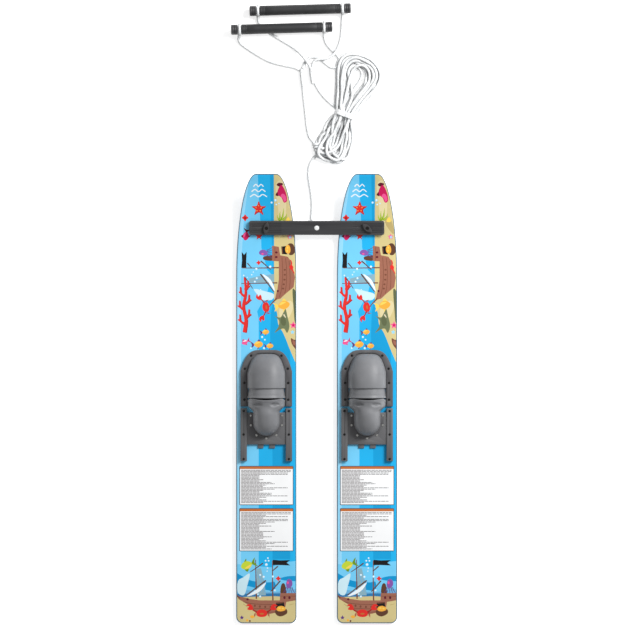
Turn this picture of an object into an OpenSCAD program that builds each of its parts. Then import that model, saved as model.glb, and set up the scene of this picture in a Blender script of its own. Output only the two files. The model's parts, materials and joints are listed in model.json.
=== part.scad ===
// Pair of trainer water skis: two skis joined by a swivelling spreader bar, slide-adjusted
// rubber bindings, and a white rope with two handles.
// Tips point to +Y, the skis lie flat on z = 0, and x = 0 is midway between them.

/* [Skis] */
// Length of a ski
ski_len = 1168; // [1100:4:1240]
// Width of a ski
ski_w = 157; // [150:1:165]
// Distance between the centre lines of the skis
ski_pitch = 262; // [250:1:280]
// Thickness of a ski, top sheet included
ski_t = 18; // [16:0.5:22]
// Thickness at the tip
tip_t = 9; // [7:0.5:12]
// Thickness at the tail
tail_t = 13; // [10:0.5:16]
// Length of the rising tip
rocker_len = 250; // [220:5:280]
// Height of the base at the tip
rocker_rise = 62; // [50:1:75]
// Length of the curved shoulders of the tip
shoulder_len = 270; // [240:5:300]
// Width of the blunt end of the tip
tip_w = 52; // [40:1:60]
// Radius of the tail corners
tail_r = 17; // [8:1:30]
// Depth of the tunnel in the base
tunnel_depth = 4; // [2:0.5:5]
// Width of the tunnel at the base
tunnel_w = 78; // [60:1:90]
// Thickness of the printed top sheet
sheet_t = 1; // [0.6:0.1:1.5]

/* [Spreader bar] */
// Length of the bar
bar_len = 351; // [340:1:370]
// Width of the bar
bar_w = 36.5; // [32:0.5:40]
// Thickness of the bar
bar_t = 6; // [5:0.5:8]
// Number of grooves in each grip zone of the bar
bar_grooves = 6; // [4:1:7]
// Length of the leaf-shaped turn knobs
knob_len = 33; // [28:1:34]
// Width of the turn knobs
knob_w = 14; // [13:0.5:16]
// Angle of the left knob to the bar
knob_angle_left = 80; // [-90:1:90]
// Angle of the right knob to the bar
knob_angle_right = -42; // [-90:1:90]

/* [Bindings] */
// Outer width of the toe frame and the rear rails
binding_w = 134; // [130:1:138]
// Width of the toe frame's rim and of each rail
rim_w = 16.4; // [15:0.1:17]
// Thickness of the toe frame
frame_t = 4; // [3:0.5:5]
// Height of the toe piece over the deck
toe_h = 54; // [45:1:60]
// Height of the heel cup over the deck
heel_h = 62; // [52:1:70]
// Thickness of the rubber
rubber_t = 3.5; // [3:0.5:5]
// Length of a rear rail
rail_len = 137; // [130:1:145]
// Height of a rear rail
rail_h = 9; // [8.5:0.5:11]
// Length of the heel plate
plate_len = 83; // [80:1:84]

/* [Rope and handles] */
// Diameter of the rope
rope_d = 8; // [7:0.5:9]
// Length of a handle
handle_len = 264; // [255:1:275]
// Diameter of the grips and end caps
grip_d = 26.6; // [24:0.2:27]
// Diameter of the handle tubes
tube_d = 19; // [16:0.5:19]
// Distance between the rope eyes of a handle
eye_pitch = 220; // [216:1:224]
// Height of the hank
hank_h = 31; // [26:1:36]

/* [Hidden] */
$fn = 48;

LEFT = -1;
RIGHT = 1;
gap = 0.2;
fit = 0.05;

// Skis
tail_y = -808;
tip_y = tail_y + ski_len;
rocker_y = tip_y - rocker_len;
rocker_r = (pow(rocker_len, 2) + pow(rocker_rise, 2)) / (2 * rocker_rise);
rocker_steps = 20;
tail_taper_len = 110;
shoulder_steps = 24;

function blend(a, b, t) = a + (b - a) * t;
function base_z(y) =
  y <= rocker_y ? 0 : rocker_r - sqrt(pow(rocker_r, 2) - pow(y - rocker_y, 2));
function ski_thickness(y) =
  y > rocker_y ? blend(ski_t, tip_t, (y - rocker_y) / rocker_len)
  : y < tail_y + tail_taper_len ? blend(tail_t, ski_t, (y - tail_y) / tail_taper_len)
  : ski_t;
function deck_z(y) = base_z(y) + ski_thickness(y);

stations = concat(
  [tail_y, tail_y + tail_taper_len],
  [for (i = [0:rocker_steps]) rocker_y + rocker_len * i / rocker_steps]
);

// Spreader bar: its own frame has its origin on the deck under the bar and z along the studs
bar_y = 222;
bar_slope = (bar_y - rocker_y) / sqrt(pow(rocker_r, 2) - pow(bar_y - rocker_y, 2))
  - (ski_t - tip_t) / rocker_len;
bar_tilt = atan(bar_slope);
bar_r = 5;
pad_r = 17;
pad_sink = 1.5;
pad_top = 3;
bar_z = pad_top + gap;
bar_top = bar_z + bar_t;
stud_r = 3;
stud_depth = 9;
stud_head_r = 4.6;
knob_z = bar_top + gap;
knob_collar_h = 1;
knob_h = 5.5;
knob_bore_h = 3.5;
groove_w = 1.6;
groove_depth = 0.8;
groove_in = 92;
groove_out = 170;
groove_pitch = 4.8;
hole_r = 4.6;
sink_r = 6.3;
sink_depth = 2.5;

// Bindings: measured from the ski's centre line
deck = ski_t;
hw = binding_w / 2;
inner_hw = hw - rim_w;
toe_back_y = -243;
toe_bend_y = -152;
toe_front_y = -96;
toe_power = 4.5;
dome_back_y = -195;
dome_front_y = -107;
dome_hw = inner_hw - 1;
dome_turn_y = -156;
collar_back_y = -220.8;
collar_inset = 1.6;
dome_rings = 14;
arch_steps = 16;
flange_t = 2;
flange_lip = 3;
frame_z = deck + flange_t;
screw_r = 1.6;
screw_head_r = 3.1;
screw_head_h = 1.6;
screw_depth = 10;
toe_screws = [[57.2, -225.5], [57.2, -182], [56, -145], [39.4, -111]];
bed_t = 4;
bed_front_y = -122;
bed_back_y = -244;
rail_front_y = -248;
rail_screws_at = [for (y = [-255, -316, -380]) [hw - rim_w / 2, y]];
slot_z = 3.2;
slot_h = 3.6;
slot_depth = 3;
plate_t = 3;
plate_z = deck + slot_z + 0.3;
plate_top = plate_z + plate_t;
plate_front_y = -259;
tongue = slot_depth - 0.3;
cup_front_y = -222;
cup_back_y = -319.5;
cup_wing_hw = 48;
cup_hw = 34.5;
cup_turn_y = -284;
cup_rings = 18;
heel_screws_at = [[40.6, -267], [40.4, -292], [25.6, -318], [0, -326]];
heel_pad_t = 2.5;
latch_t = 2.2;
latch_z = deck + 0.9;
tab_w = 15;
tab_x = 15;
tab_out = 10;
panel_hw = 70.5;
panel_y = [[-500, -398], [-620, -508]];
panel_t = 0.3;

// Handles: [centre, yaw, dip], where dip lowers the right end
grip_r = grip_d / 2;
tube_r = tube_d / 2;
eye_in_r = tube_r + 0.1;
eye_out_r = 16;
eye_w = 8;
end_gap = 0.4;
tow_at = [[-43, 789, eye_out_r], 1.6, 0];
skier_dip = 2.2;
skier_at = [[-91, 740, eye_out_r + eye_pitch / 2 * sin(skier_dip)], 1.8, skier_dip];

// Rope: routes of the centre line, which lies half a diameter over the floor
rope_r = rope_d / 2;
rope_sides = 10;
tow_left_route = [
  [-153, 775, 10], [-152, 762, 5], [-146, 748, 4], [-132, 735, 4], [-112, 722, 4],
  [-90, 709, 4], [-70, 697, 4], [-53, 685, 7], [-41, 673, 11], [-30, 660, 12.7],
  [-22, 649, 11.5], [-16, 636, 8],
];
tow_right_route = [
  [67, 781, 10], [67, 768, 5], [66, 750, 4], [65, 730, 4], [62, 710, 6],
  [56, 691, 10], [47, 676, 12.7], [34, 666, 12.6], [18, 661, 12.5], [3, 660, 12.5],
  [-8, 653, 10], [-12, 636, 8],
];
skier_left_route = [
  [-201, 725, 19], [-203, 714, 9], [-198, 702, 4], [-180, 688, 4], [-150, 669, 4],
  [-120, 654, 4], [-86, 645, 4], [-58, 639, 4], [-42, 631, 5],
];
skier_right_route = [
  [19, 732, 10], [20, 719, 5], [24, 704, 4], [34, 690, 4], [47, 677, 4],
  [58, 664, 4], [60, 650, 4], [51, 640, 4], [37, 640, 4], [24, 649, 4],
  [11, 659, 4], [-3, 666, 4], [-17, 665, 4], [-29, 654, 4], [-37, 636, 5],
];
skier_line_route = [
  [-39, 634, 5], [-38, 612, 5], [-36, 590, 5], [-34, 566, 4], [-31, 540, 4],
  [-28, 512, 4], [-25, 484, 4], [-19, 459, 4], [-7, 443, 4], [2, 429, 4],
  [0, 413, 4], [-11, 399, 4], [-19, 381, 4], [-21, 359, 4], [-18, 335, 4],
  [-14, 311, 4], [-12, 288, 4], [-12, 267, 4], [-13, 250, 5], [-11, 239, 8],
  [-6, 230, 15], [-1.5, 225, 23], [0, 221.8, 31],
];
tow_line_route = [
  [-14, 636, 8], [-13, 616, 6], [-10, 597, 4], [-3, 577, 4], [9, 559, 4],
  [24, 546, 4], [38, 533, 6], [50, 520, 9],
];
splice_r = 6;
splice_points = 3;
hank_z = 1.5;
hank_top_at = [114, 619, 55];
hank_waist_at = [73, 516, 25];
hank_low_at = [48, 432, 46];
tie_w = 12;
tie_t = 1.3;
tie_span = 52;
tie_turn = 69;

// Colours
c_core = [0.20, 0.33, 0.42];
c_print = [0.16, 0.68, 0.90];
c_black = [0.09, 0.09, 0.10];
c_plate = [0.33, 0.33, 0.35];
c_rubber = [0.45, 0.45, 0.47];
c_steel = [0.80, 0.80, 0.78];
c_white = [0.93, 0.93, 0.92];

module on_ski(side) {
  translate([side * ski_pitch / 2, 0, 0]) children();
}

module on_bar() {
  translate([0, bar_y, deck_z(bar_y)]) rotate([bar_tilt, 0, 0]) children();
}

module on_stud(side) {
  on_bar() translate([side * ski_pitch / 2, 0, 0]) children();
}

module on_handle(at) {
  translate(at[0]) rotate([0, at[2], at[1]]) rotate([0, 90, 0]) children();
}

// Places a child at both sides of the centre line
module both_sides(points) {
  for (p = points)
    for (side = p[0] == 0 ? [RIGHT] : [LEFT, RIGHT])
      translate([side * p[0], p[1], 0]) children();
}

// Outline of a ski: elliptic shoulders, blunt tip, rounded tail corners
function quarter(cx, cy, rx, ry, from, to, steps) = [
  for (i = [0:steps])
    let (a = blend(from, to, i / steps)) [cx + rx * cos(a), cy + ry * sin(a)]
];

function ski_outline() =
  let (
    side = quarter(tip_w / 2, tip_y - shoulder_len, (ski_w - tip_w) / 2, shoulder_len,
      0, 90, shoulder_steps),
    corner = quarter(ski_w / 2 - tail_r, tail_y + tail_r, tail_r, tail_r, -90, 0, 8),
    half = concat(corner, side)
  )
  concat(half, [for (i = [len(half) - 1:-1:0]) [-half[i][0], half[i][1]]]);

// Slab between two heights over the base, cut to the ski's outline
module ski_slab(low, high) {
  side_view = concat(
    [for (y = stations) [y, low(y)]],
    [for (i = [len(stations) - 1:-1:0]) [stations[i], high(stations[i])]]
  );
  intersection() {
    linear_extrude(height = 200) polygon(ski_outline());
    rotate([90, 0, 90]) linear_extrude(height = 2 * ski_w, center = true) polygon(side_view);
  }
}

// Pocket for the bar pad and holes for the stud and the screws
module ski_cuts() {
  on_bar() {
    translate([0, 0, -pad_sink]) cylinder(h = 20, r = pad_r + fit);
    translate([0, 0, -stud_depth]) cylinder(h = 20, r = stud_r + fit);
  }
  both_sides(concat(toe_screws, rail_screws_at))
    translate([0, 0, deck - screw_depth]) cylinder(h = 20, r = screw_r + fit, $fn = 24);
}

module ski_core(side) {
  color(c_core) on_ski(side) difference() {
    ski_slab(function(y) base_z(y), function(y) deck_z(y) - sheet_t);
    ski_cuts();
    rotate([90, 0, 0]) linear_extrude(height = 4000, center = true) polygon([
      [-tunnel_w / 2, -1], [tunnel_w / 2, -1], [tunnel_w / 2, 0],
      [tunnel_w / 2 - 2 * tunnel_depth, tunnel_depth],
      [2 * tunnel_depth - tunnel_w / 2, tunnel_depth], [-tunnel_w / 2, 0],
    ]);
  }
}

module top_sheet(side) {
  color(c_print) on_ski(side) difference() {
    ski_slab(function(y) deck_z(y) - sheet_t, function(y) deck_z(y));
    ski_cuts();
  }
}

module bar_pad(side) {
  color(c_black) on_stud(side) difference() {
    translate([0, 0, -pad_sink]) cylinder(h = pad_top + pad_sink, r = pad_r);
    translate([0, 0, -5]) cylinder(h = 20, r = stud_r + fit);
  }
}

module stud(side) {
  color(c_black) on_stud(side) {
    difference() {
      union() {
        translate([0, 0, -stud_depth])
          cylinder(h = stud_depth + knob_z + knob_bore_h + gap + 1, r = stud_r);
        translate([0, 0, knob_z + knob_bore_h + gap]) cylinder(h = 2, r = stud_head_r);
      }
      translate([0, 0, knob_z + knob_bore_h + gap + 1])
        cylinder(h = 5, r = 1.8, $fn = 6);
    }
  }
}

module turn_knob(side) {
  leaf_r = (pow(knob_len / 2, 2) + pow(knob_w / 2, 2)) / knob_w;
  angle = side == LEFT ? knob_angle_left : knob_angle_right;
  color(c_black) on_stud(side) translate([0, 0, knob_z]) difference() {
    union() {
      cylinder(h = knob_collar_h, r = knob_w / 2 + 0.8);
      rotate([0, 0, angle]) intersection() {
        translate([0, leaf_r - knob_w / 2, knob_collar_h / 2])
          cylinder(h = knob_h, r = leaf_r, $fn = 96);
        translate([0, knob_w / 2 - leaf_r, knob_collar_h / 2])
          cylinder(h = knob_h, r = leaf_r, $fn = 96);
      }
    }
    translate([0, 0, -1]) cylinder(h = 20, r = stud_r + fit);
    translate([0, 0, knob_bore_h]) cylinder(h = 20, r = stud_head_r + gap);
  }
}

module spreader_bar() {
  color(c_black) on_bar() difference() {
    translate([0, 0, bar_z]) linear_extrude(height = bar_t) bar_outline();
    for (side = [LEFT, RIGHT]) {
      translate([side * ski_pitch / 2, 0, 0]) cylinder(h = 20, r = stud_r + fit);
      for (i = [0:bar_grooves - 1])
        translate([side * (groove_in + groove_out) / 2,
            (i - (bar_grooves - 1) / 2) * groove_pitch, bar_top])
          cube([groove_out - groove_in, groove_w, 2 * groove_depth], center = true);
    }
    cylinder(h = 20, r = hole_r);
    translate([0, 0, bar_top - sink_depth])
      cylinder(h = sink_depth + 0.001, r1 = hole_r, r2 = sink_r);
  }
}

module bar_outline() {
  square([bar_len - 2 * bar_r, bar_w], center = true);
  square([bar_len, bar_w - 2 * bar_r], center = true);
  for (x = [-1, 1], y = [-1, 1])
    translate([x * (bar_len / 2 - bar_r), y * (bar_w / 2 - bar_r)]) circle(bar_r);
}

module rope_stopper() {
  color(c_white) on_bar() translate([0, 0, bar_top - sink_depth])
    rotate_extrude() polygon([
      [0, 0.1], [hole_r - 0.1, 0.1], [sink_r - 0.1, sink_depth],
      [sink_r - 1.3, sink_depth + 0.7], [sink_r - 3.5, sink_depth + 1.1], [0, sink_depth + 1.2],
    ]);
}

// Toe frame outline: straight sides, slanting shoulders and a flat arch over the toes
function toe_arch(half_w, front_y) = [
  for (i = [0:shoulder_steps])
    let (share = 1 - pow(i / shoulder_steps, 1.4))
    [
      half_w * share,
      blend(front_y, toe_bend_y - (hw - half_w) * 0.3, pow(share, toe_power)),
    ]
];
function toe_outline(half_w, front_y, back_y) =
  let (half = concat([[half_w, back_y]], toe_arch(half_w, front_y)))
  concat(half, [for (i = [len(half) - 2:-1:0]) [-half[i][0], half[i][1]]]);

// Ring of the frame's outline; lip widens it inwards
module toe_ring(height, lip = 0) {
  linear_extrude(height = height) difference() {
    polygon(toe_outline(hw, toe_front_y, toe_back_y));
    polygon(toe_outline(inner_hw - lip, toe_front_y - 8 - lip, toe_back_y - 10));
  }
}

module toe_frame(side) {
  color(c_plate) on_ski(side) difference() {
    translate([0, 0, frame_z]) toe_ring(frame_t);
    both_sides(toe_screws)
      translate([0, 0, deck]) cylinder(h = 20, r = screw_r + fit, $fn = 24);
  }
}

// Pan-head screw standing on z = 0, with a cross recess
module screw(depth) {
  difference() {
    union() {
      translate([0, 0, -depth]) cylinder(h = depth + 0.5, r = screw_r, $fn = 24);
      rotate_extrude($fn = 24) polygon([
        [0, 0], [screw_head_r, 0], [screw_head_r, 0.6],
        [screw_head_r - 1, screw_head_h], [0, screw_head_h],
      ]);
    }
    for (a = [0, 90]) rotate([0, 0, a])
      translate([0, 0, screw_head_h]) cube([3.2, 0.7, 1.4], center = true);
  }
}

module toe_frame_screws(side) {
  color(c_black) on_ski(side) both_sides(toe_screws)
    translate([0, 0, frame_z + frame_t]) screw(frame_t + flange_t + screw_depth - 1);
}

// One arch across the ski, from its left foot to its right foot
function arch(half_w, height, y, z, flat) = [
  for (i = [0:arch_steps])
    let (a = 180 - 180 * i / arch_steps)
    [
      half_w * sign(cos(a)) * pow(abs(cos(a)), 2 / flat),
      y,
      z + height * pow(sin(a), 2 / flat),
    ]
];

// Closed shell between an outer and an inner row of arches, open at the first arch
module arch_shell(outer, inner) {
  n = len(outer);
  m = arch_steps + 1;
  function o(j, i) = j * m + i;
  function q(j, i) = n * m + j * m + i;
  polyhedron(
    points = concat([for (r = outer) each r], [for (r = inner) each r]),
    faces = concat(
      [for (j = [0:n - 2], i = [0:m - 2]) each [
        [o(j, i), o(j + 1, i), o(j + 1, i + 1)], [o(j, i), o(j + 1, i + 1), o(j, i + 1)]]],
      [for (j = [0:n - 2], i = [0:m - 2]) each [
        [q(j, i), q(j + 1, i + 1), q(j + 1, i)], [q(j, i), q(j, i + 1), q(j + 1, i + 1)]]],
      [for (i = [0:m - 2]) each [
        [o(0, i), o(0, i + 1), q(0, i + 1)], [o(0, i), q(0, i + 1), q(0, i)]]],
      [for (j = [0:n - 2]) each [
        [o(j, 0), q(j, 0), q(j + 1, 0)], [o(j, 0), q(j + 1, 0), o(j + 1, 0)],
        [o(j, m - 1), q(j + 1, m - 1), q(j, m - 1)],
        [o(j, m - 1), o(j + 1, m - 1), q(j + 1, m - 1)]]],
      [for (i = [1:m - 2]) [o(n - 1, 0), o(n - 1, i + 1), o(n - 1, i)]],
      [for (i = [1:m - 2]) [q(n - 1, 0), q(n - 1, i), q(n - 1, i + 1)]],
      [[o(n - 1, 0), q(n - 1, 0), q(n - 1, m - 1)],
        [o(n - 1, 0), q(n - 1, m - 1), o(n - 1, m - 1)]]
    )
  );
}

// Share of the full width left at t, from 0 where a shell starts to close to 1 at its end
function closing(t, power) = t <= 0 ? 1 : pow(1 - pow(min(t, 1), power), 1 / power);

// Rows of the toe piece: an open band a step lower, then the dome
function toe_rows(inset) = concat(
  [for (y = [collar_back_y, dome_back_y - 1])
    arch(dome_hw - collar_inset - inset, toe_h - collar_inset - inset, y, deck, 2.3)],
  [for (j = [0:dome_rings])
    let (
      s = sin(90 * j / dome_rings),
      y = blend(dome_back_y, dome_front_y - inset, s),
      t = (y - dome_turn_y) / (dome_front_y + 0.6 - inset - dome_turn_y),
      f = (y - dome_back_y) / (dome_front_y + 6 - inset - dome_back_y)
    )
    arch((dome_hw - inset) * pow(1 - max(t, 0), 1 / toe_power),
      (toe_h - inset) * closing(f, 2.2), y, deck, 2.3)]
);

module toe_piece(side) {
  color(c_rubber) on_ski(side) {
    arch_shell(toe_rows(0), toe_rows(rubber_t));
    difference() {
      translate([0, 0, deck]) toe_ring(flange_t, flange_lip);
      both_sides(toe_screws)
        translate([0, 0, deck - 1]) cylinder(h = 20, r = screw_r + fit, $fn = 24);
    }
  }
}

module foot_bed(side) {
  bed_hw = dome_hw - rubber_t - collar_inset - 0.6;
  color(c_rubber) on_ski(side) translate([0, 0, deck]) linear_extrude(height = bed_t)
    difference() {
      polygon(toe_outline(bed_hw, bed_front_y, bed_back_y));
      for (x = [LEFT, RIGHT]) translate([x * bed_hw, bed_back_y]) circle(12);
    }
}

// Rail with a slot along its inner face; direction is the side that the slot faces
module rail(side, direction) {
  color(c_plate) on_ski(side) difference() {
    translate([-direction * (hw - rim_w / 2), rail_front_y, deck]) rotate([90, 0, 0])
      linear_extrude(height = rail_len) difference() {
        translate([-rim_w / 2, 0]) square([rim_w, rail_h]);
        translate([direction > 0 ? rim_w / 2 - slot_depth : -rim_w / 2 - 1, slot_z])
          square([slot_depth + 1, slot_h]);
      }
    both_sides(rail_screws_at)
      translate([0, 0, deck - 1]) cylinder(h = 20, r = screw_r + fit, $fn = 24);
  }
}

module rail_screws(side) {
  color(c_black) on_ski(side) both_sides(rail_screws_at)
    translate([0, 0, deck + rail_h]) screw(rail_h + screw_depth - 1);
}

module heel_plate(side) {
  color(c_plate) on_ski(side) difference() {
    translate([-inner_hw - tongue, plate_front_y - plate_len, plate_z])
      cube([2 * (inner_hw + tongue), plate_len, plate_t]);
    both_sides(heel_screws_at)
      translate([0, 0, plate_z - 1]) cylinder(h = 20, r = screw_r + fit, $fn = 24);
  }
}

// Half-width of the cup: wide wings at the front that draw in to the heel
function cup_w(y) =
  let (t = min(1, max(0, (-240 - y) / 18)))
  y > -240 ? cup_wing_hw : blend(cup_wing_hw, cup_hw, (1 - cos(180 * t)) / 2);

function cup_rows(inset) = [
  for (j = [0:cup_rings])
    let (
      s = sin(90 * j / cup_rings) * 0.55 + 0.45 * j / cup_rings,
      y = blend(cup_front_y, cup_back_y + inset, s),
      t = (cup_turn_y - y) / (cup_turn_y - cup_back_y - inset + 1.2),
      f = (cup_front_y - y) / (cup_front_y - cup_back_y - inset + 5)
    )
    arch((cup_w(y) - inset) * closing(t, 2),
      (heel_h - plate_top + deck - inset) * closing(f, 2.4) - cup_dip(y), y, plate_top, 2.2)
];

// Saddle between the turned-up front lip and the heel
function cup_dip(y) = 4.5 * exp(-pow((y + 244) / 13, 2));

module heel_cup(side) {
  color(c_rubber) on_ski(side) mirror([1, 0, 0]) arch_shell(cup_rows(0), cup_rows(rubber_t));
}

module heel_pad(side) {
  pad_hw = cup_hw - rubber_t - 1;
  color(c_rubber) on_ski(side) translate([0, 0, plate_top]) linear_extrude(height = heel_pad_t) {
    translate([0, cup_turn_y]) circle(pad_hw - 0.5);
    translate([-pad_hw + 0.5, cup_turn_y]) square([2 * pad_hw - 1, plate_front_y - cup_turn_y - 1]);
  }
}

module heel_screws(side) {
  color(c_steel) on_ski(side) both_sides(heel_screws_at)
    translate([0, 0, plate_top]) screw(plate_t);
}

// Sliding catch: a cross plate under the heel plate and two tabs that stand out behind it
module latch(side) {
  back_y = plate_front_y - plate_len;
  color(c_plate) on_ski(side) translate([0, 0, latch_z]) {
    translate([-inner_hw + 3, back_y + 8, 0]) cube([2 * inner_hw - 6, 12, latch_t]);
    for (x = [-tab_x, tab_x])
      translate([x - tab_w / 2, back_y - tab_out, 0]) cube([tab_w, tab_out + 12, latch_t]);
  }
}

module info_panels(side) {
  color(c_white) on_ski(side) for (y = panel_y)
    translate([-panel_hw, y[0], deck]) cube([2 * panel_hw, y[1] - y[0], panel_t]);
}

// Handles: local z runs along the handle
module handle_tube(at) {
  half = handle_len / 2 - 3;
  color(c_steel) on_handle(at) difference() {
    cylinder(h = 2 * half, r = tube_r, center = true);
    cylinder(h = 2 * half + 2, r = tube_r - 1.8, center = true);
  }
}

module grip(at) {
  half = eye_pitch / 2 - eye_w / 2 - end_gap;
  color(c_black) on_handle(at) difference() {
    rotate_extrude() polygon([
      [0, -half], [grip_r - 0.8, -half], [grip_r, 0.8 - half],
      [grip_r, half - 0.8], [grip_r - 0.8, half], [0, half],
    ]);
    cylinder(h = 2 * half + 2, r = tube_r + fit, center = true);
  }
}

module end_caps(at) {
  inner = eye_pitch / 2 + eye_w / 2 + end_gap;
  outer = handle_len / 2;
  color(c_black) on_handle(at) for (flip = [0, 1]) mirror([0, 0, flip]) difference() {
    rotate_extrude() polygon([
      [0, inner], [grip_r - 0.8, inner], [grip_r, inner + 0.8],
      [grip_r, outer - 2.5], [grip_r - 2.5, outer], [0, outer],
    ]);
    translate([0, 0, inner - 1]) cylinder(h = outer - 3 - inner + 1 + gap, r = tube_r + fit);
  }
}

module rope_eyes(at) {
  color(c_white) on_handle(at) for (z = [-eye_pitch / 2, eye_pitch / 2])
    translate([0, 0, z]) rotate_extrude() {
      translate([eye_in_r, -eye_w / 2]) square([3, eye_w]);
      translate([eye_in_r, 1.5 - eye_w / 2]) square([eye_out_r - eye_in_r, eye_w - 3]);
      translate([eye_in_r + 2, -eye_w / 2]) square([eye_out_r - eye_in_r - 3.5, eye_w]);
      for (s = [-1, 1]) translate([eye_out_r - 1.5, s * (eye_w / 2 - 1.5)]) circle(1.5);
    }
}

// Round tube swept along a route, with a frame that turns as little as it can
function unit(v) = v / norm(v);
function tangent(p, i) = unit(p[min(i + 1, len(p) - 1)] - p[max(i - 1, 0)]);
function square_to(n, t) = unit(n - t * (n * t));

module rope(route, radius) {
  n = len(route);
  frames = [
    for (i = 0, t = tangent(route, 0), side = square_to([1, 0.01, 0], t);
        i < n;
        i = i + 1, t = i < n ? tangent(route, i) : t, side = square_to(side, t))
      [side, cross(t, side)]
  ];
  points = [
    for (i = [0:n - 1], k = [0:rope_sides - 1])
      let (a = 360 * k / rope_sides)
      route[i] + radius * (cos(a) * frames[i][0] + sin(a) * frames[i][1])
  ];
  function at(i, k) = i * rope_sides + k % rope_sides;
  polyhedron(
    points = points,
    faces = concat(
      [for (i = [0:n - 2], k = [0:rope_sides - 1]) each [
        [at(i, k), at(i + 1, k), at(i + 1, k + 1)], [at(i, k), at(i + 1, k + 1), at(i, k + 1)]]],
      [[for (k = [0:rope_sides - 1]) at(0, k)]],
      [[for (k = [rope_sides - 1:-1:0]) at(n - 1, k)]]
    )
  );
}

module splice(route) {
  color(c_white) rope([for (i = [0:splice_points - 1]) route[i] + [0, 0, splice_r - rope_r]],
    splice_r);
}

module hank() {
  color(c_white) translate([0, 0, hank_z]) linear_extrude(height = hank_h) {
    hull() {
      translate([hank_top_at[0], hank_top_at[1]]) circle(hank_top_at[2]);
      translate([hank_waist_at[0], hank_waist_at[1]]) circle(hank_waist_at[2]);
    }
    hull() {
      translate([hank_low_at[0], hank_low_at[1]]) circle(hank_low_at[2]);
      translate([hank_waist_at[0], hank_waist_at[1]]) circle(hank_waist_at[2]);
    }
  }
}

module hank_tie() {
  color(c_white) translate([hank_waist_at[0], hank_waist_at[1], 0]) rotate([0, 0, tie_turn - 90])
    difference() {
      translate([-tie_span / 2 - tie_t, -tie_w / 2, 0])
        cube([tie_span + 2 * tie_t, tie_w, hank_z + hank_h + tie_t]);
      translate([-tie_span / 2, -tie_w, tie_t])
        cube([tie_span, 2 * tie_w, hank_z + hank_h - tie_t]);
    }
}

spreader_bar();
rope_stopper();
rope_eyes(skier_at);  // skier_eyes
rope_eyes(tow_at);  // tow_eyes
color(c_white) rope(skier_left_route, rope_r);  // skier_bridle_left
color(c_white) rope(skier_right_route, rope_r);  // skier_bridle_right
splice(skier_line_route);  // skier_splice
color(c_white) rope(skier_line_route, rope_r);  // skier_line
color(c_white) rope(tow_left_route, rope_r);  // tow_bridle_left
color(c_white) rope(tow_right_route, rope_r);  // tow_bridle_right
splice(tow_line_route);  // tow_splice
color(c_white) rope(tow_line_route, rope_r);  // tow_line
hank();
hank_tie();
handle_tube(skier_at);  // skier_handle_tube
grip(skier_at);  // skier_grip
end_caps(skier_at);  // skier_end_caps
handle_tube(tow_at);  // tow_handle_tube
grip(tow_at);  // tow_grip
end_caps(tow_at);  // tow_end_caps
ski_core(LEFT);  // ski_core_left
top_sheet(LEFT);  // top_sheet_left
bar_pad(LEFT);  // bar_pad_left
stud(LEFT);  // stud_left
turn_knob(LEFT);  // turn_knob_left
toe_frame(LEFT);  // toe_frame_left
toe_frame_screws(LEFT);  // toe_frame_screws_left
toe_piece(LEFT);  // toe_piece_left
foot_bed(LEFT);  // foot_bed_left
rail(LEFT, RIGHT);  // outer_rail_left
rail(LEFT, LEFT);  // inner_rail_left
rail_screws(LEFT);  // rail_screws_left
heel_plate(LEFT);  // heel_plate_left
heel_cup(LEFT);  // heel_cup_left
heel_pad(LEFT);  // heel_pad_left
heel_screws(LEFT);  // heel_screws_left
latch(LEFT);  // latch_left
info_panels(LEFT);  // info_panels_left
ski_core(RIGHT);  // ski_core_right
top_sheet(RIGHT);  // top_sheet_right
bar_pad(RIGHT);  // bar_pad_right
stud(RIGHT);  // stud_right
turn_knob(RIGHT);  // turn_knob_right
toe_frame(RIGHT);  // toe_frame_right
toe_frame_screws(RIGHT);  // toe_frame_screws_right
toe_piece(RIGHT);  // toe_piece_right
foot_bed(RIGHT);  // foot_bed_right
rail(RIGHT, LEFT);  // outer_rail_right
rail(RIGHT, RIGHT);  // inner_rail_right
rail_screws(RIGHT);  // rail_screws_right
heel_plate(RIGHT);  // heel_plate_right
heel_cup(RIGHT);  // heel_cup_right
heel_pad(RIGHT);  // heel_pad_right
heel_screws(RIGHT);  // heel_screws_right
latch(RIGHT);  // latch_right
info_panels(RIGHT);  // info_panels_right
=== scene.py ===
"""Trainer water ski pair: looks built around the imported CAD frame. Metres, +Z up, tips to +Y."""

import json
import math

import bmesh
import bpy
import numpy as np
from mathutils import Matrix, Vector
from mathutils.geometry import delaunay_2d_cdt


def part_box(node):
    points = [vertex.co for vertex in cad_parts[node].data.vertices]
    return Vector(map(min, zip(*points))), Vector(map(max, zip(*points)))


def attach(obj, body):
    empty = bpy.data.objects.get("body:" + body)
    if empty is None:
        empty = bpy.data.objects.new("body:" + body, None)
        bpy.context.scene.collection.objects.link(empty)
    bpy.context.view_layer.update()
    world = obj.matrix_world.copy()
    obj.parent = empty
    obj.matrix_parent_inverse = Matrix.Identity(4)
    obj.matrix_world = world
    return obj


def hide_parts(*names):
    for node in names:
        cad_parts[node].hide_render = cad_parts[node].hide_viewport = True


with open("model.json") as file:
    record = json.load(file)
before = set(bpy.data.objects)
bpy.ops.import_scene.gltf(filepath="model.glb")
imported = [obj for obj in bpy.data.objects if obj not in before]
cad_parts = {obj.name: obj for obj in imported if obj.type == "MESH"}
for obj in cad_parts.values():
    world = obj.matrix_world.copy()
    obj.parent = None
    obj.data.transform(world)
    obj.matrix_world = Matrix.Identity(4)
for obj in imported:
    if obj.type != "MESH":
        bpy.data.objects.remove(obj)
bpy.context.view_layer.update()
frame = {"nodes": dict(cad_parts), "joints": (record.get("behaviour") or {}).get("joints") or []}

MM = 0.001
SIDES = {"left": -1, "right": 1}
JOINTS = {joint["name"]: joint for joint in frame["joints"]}
CURVE_STEPS = 12


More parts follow.
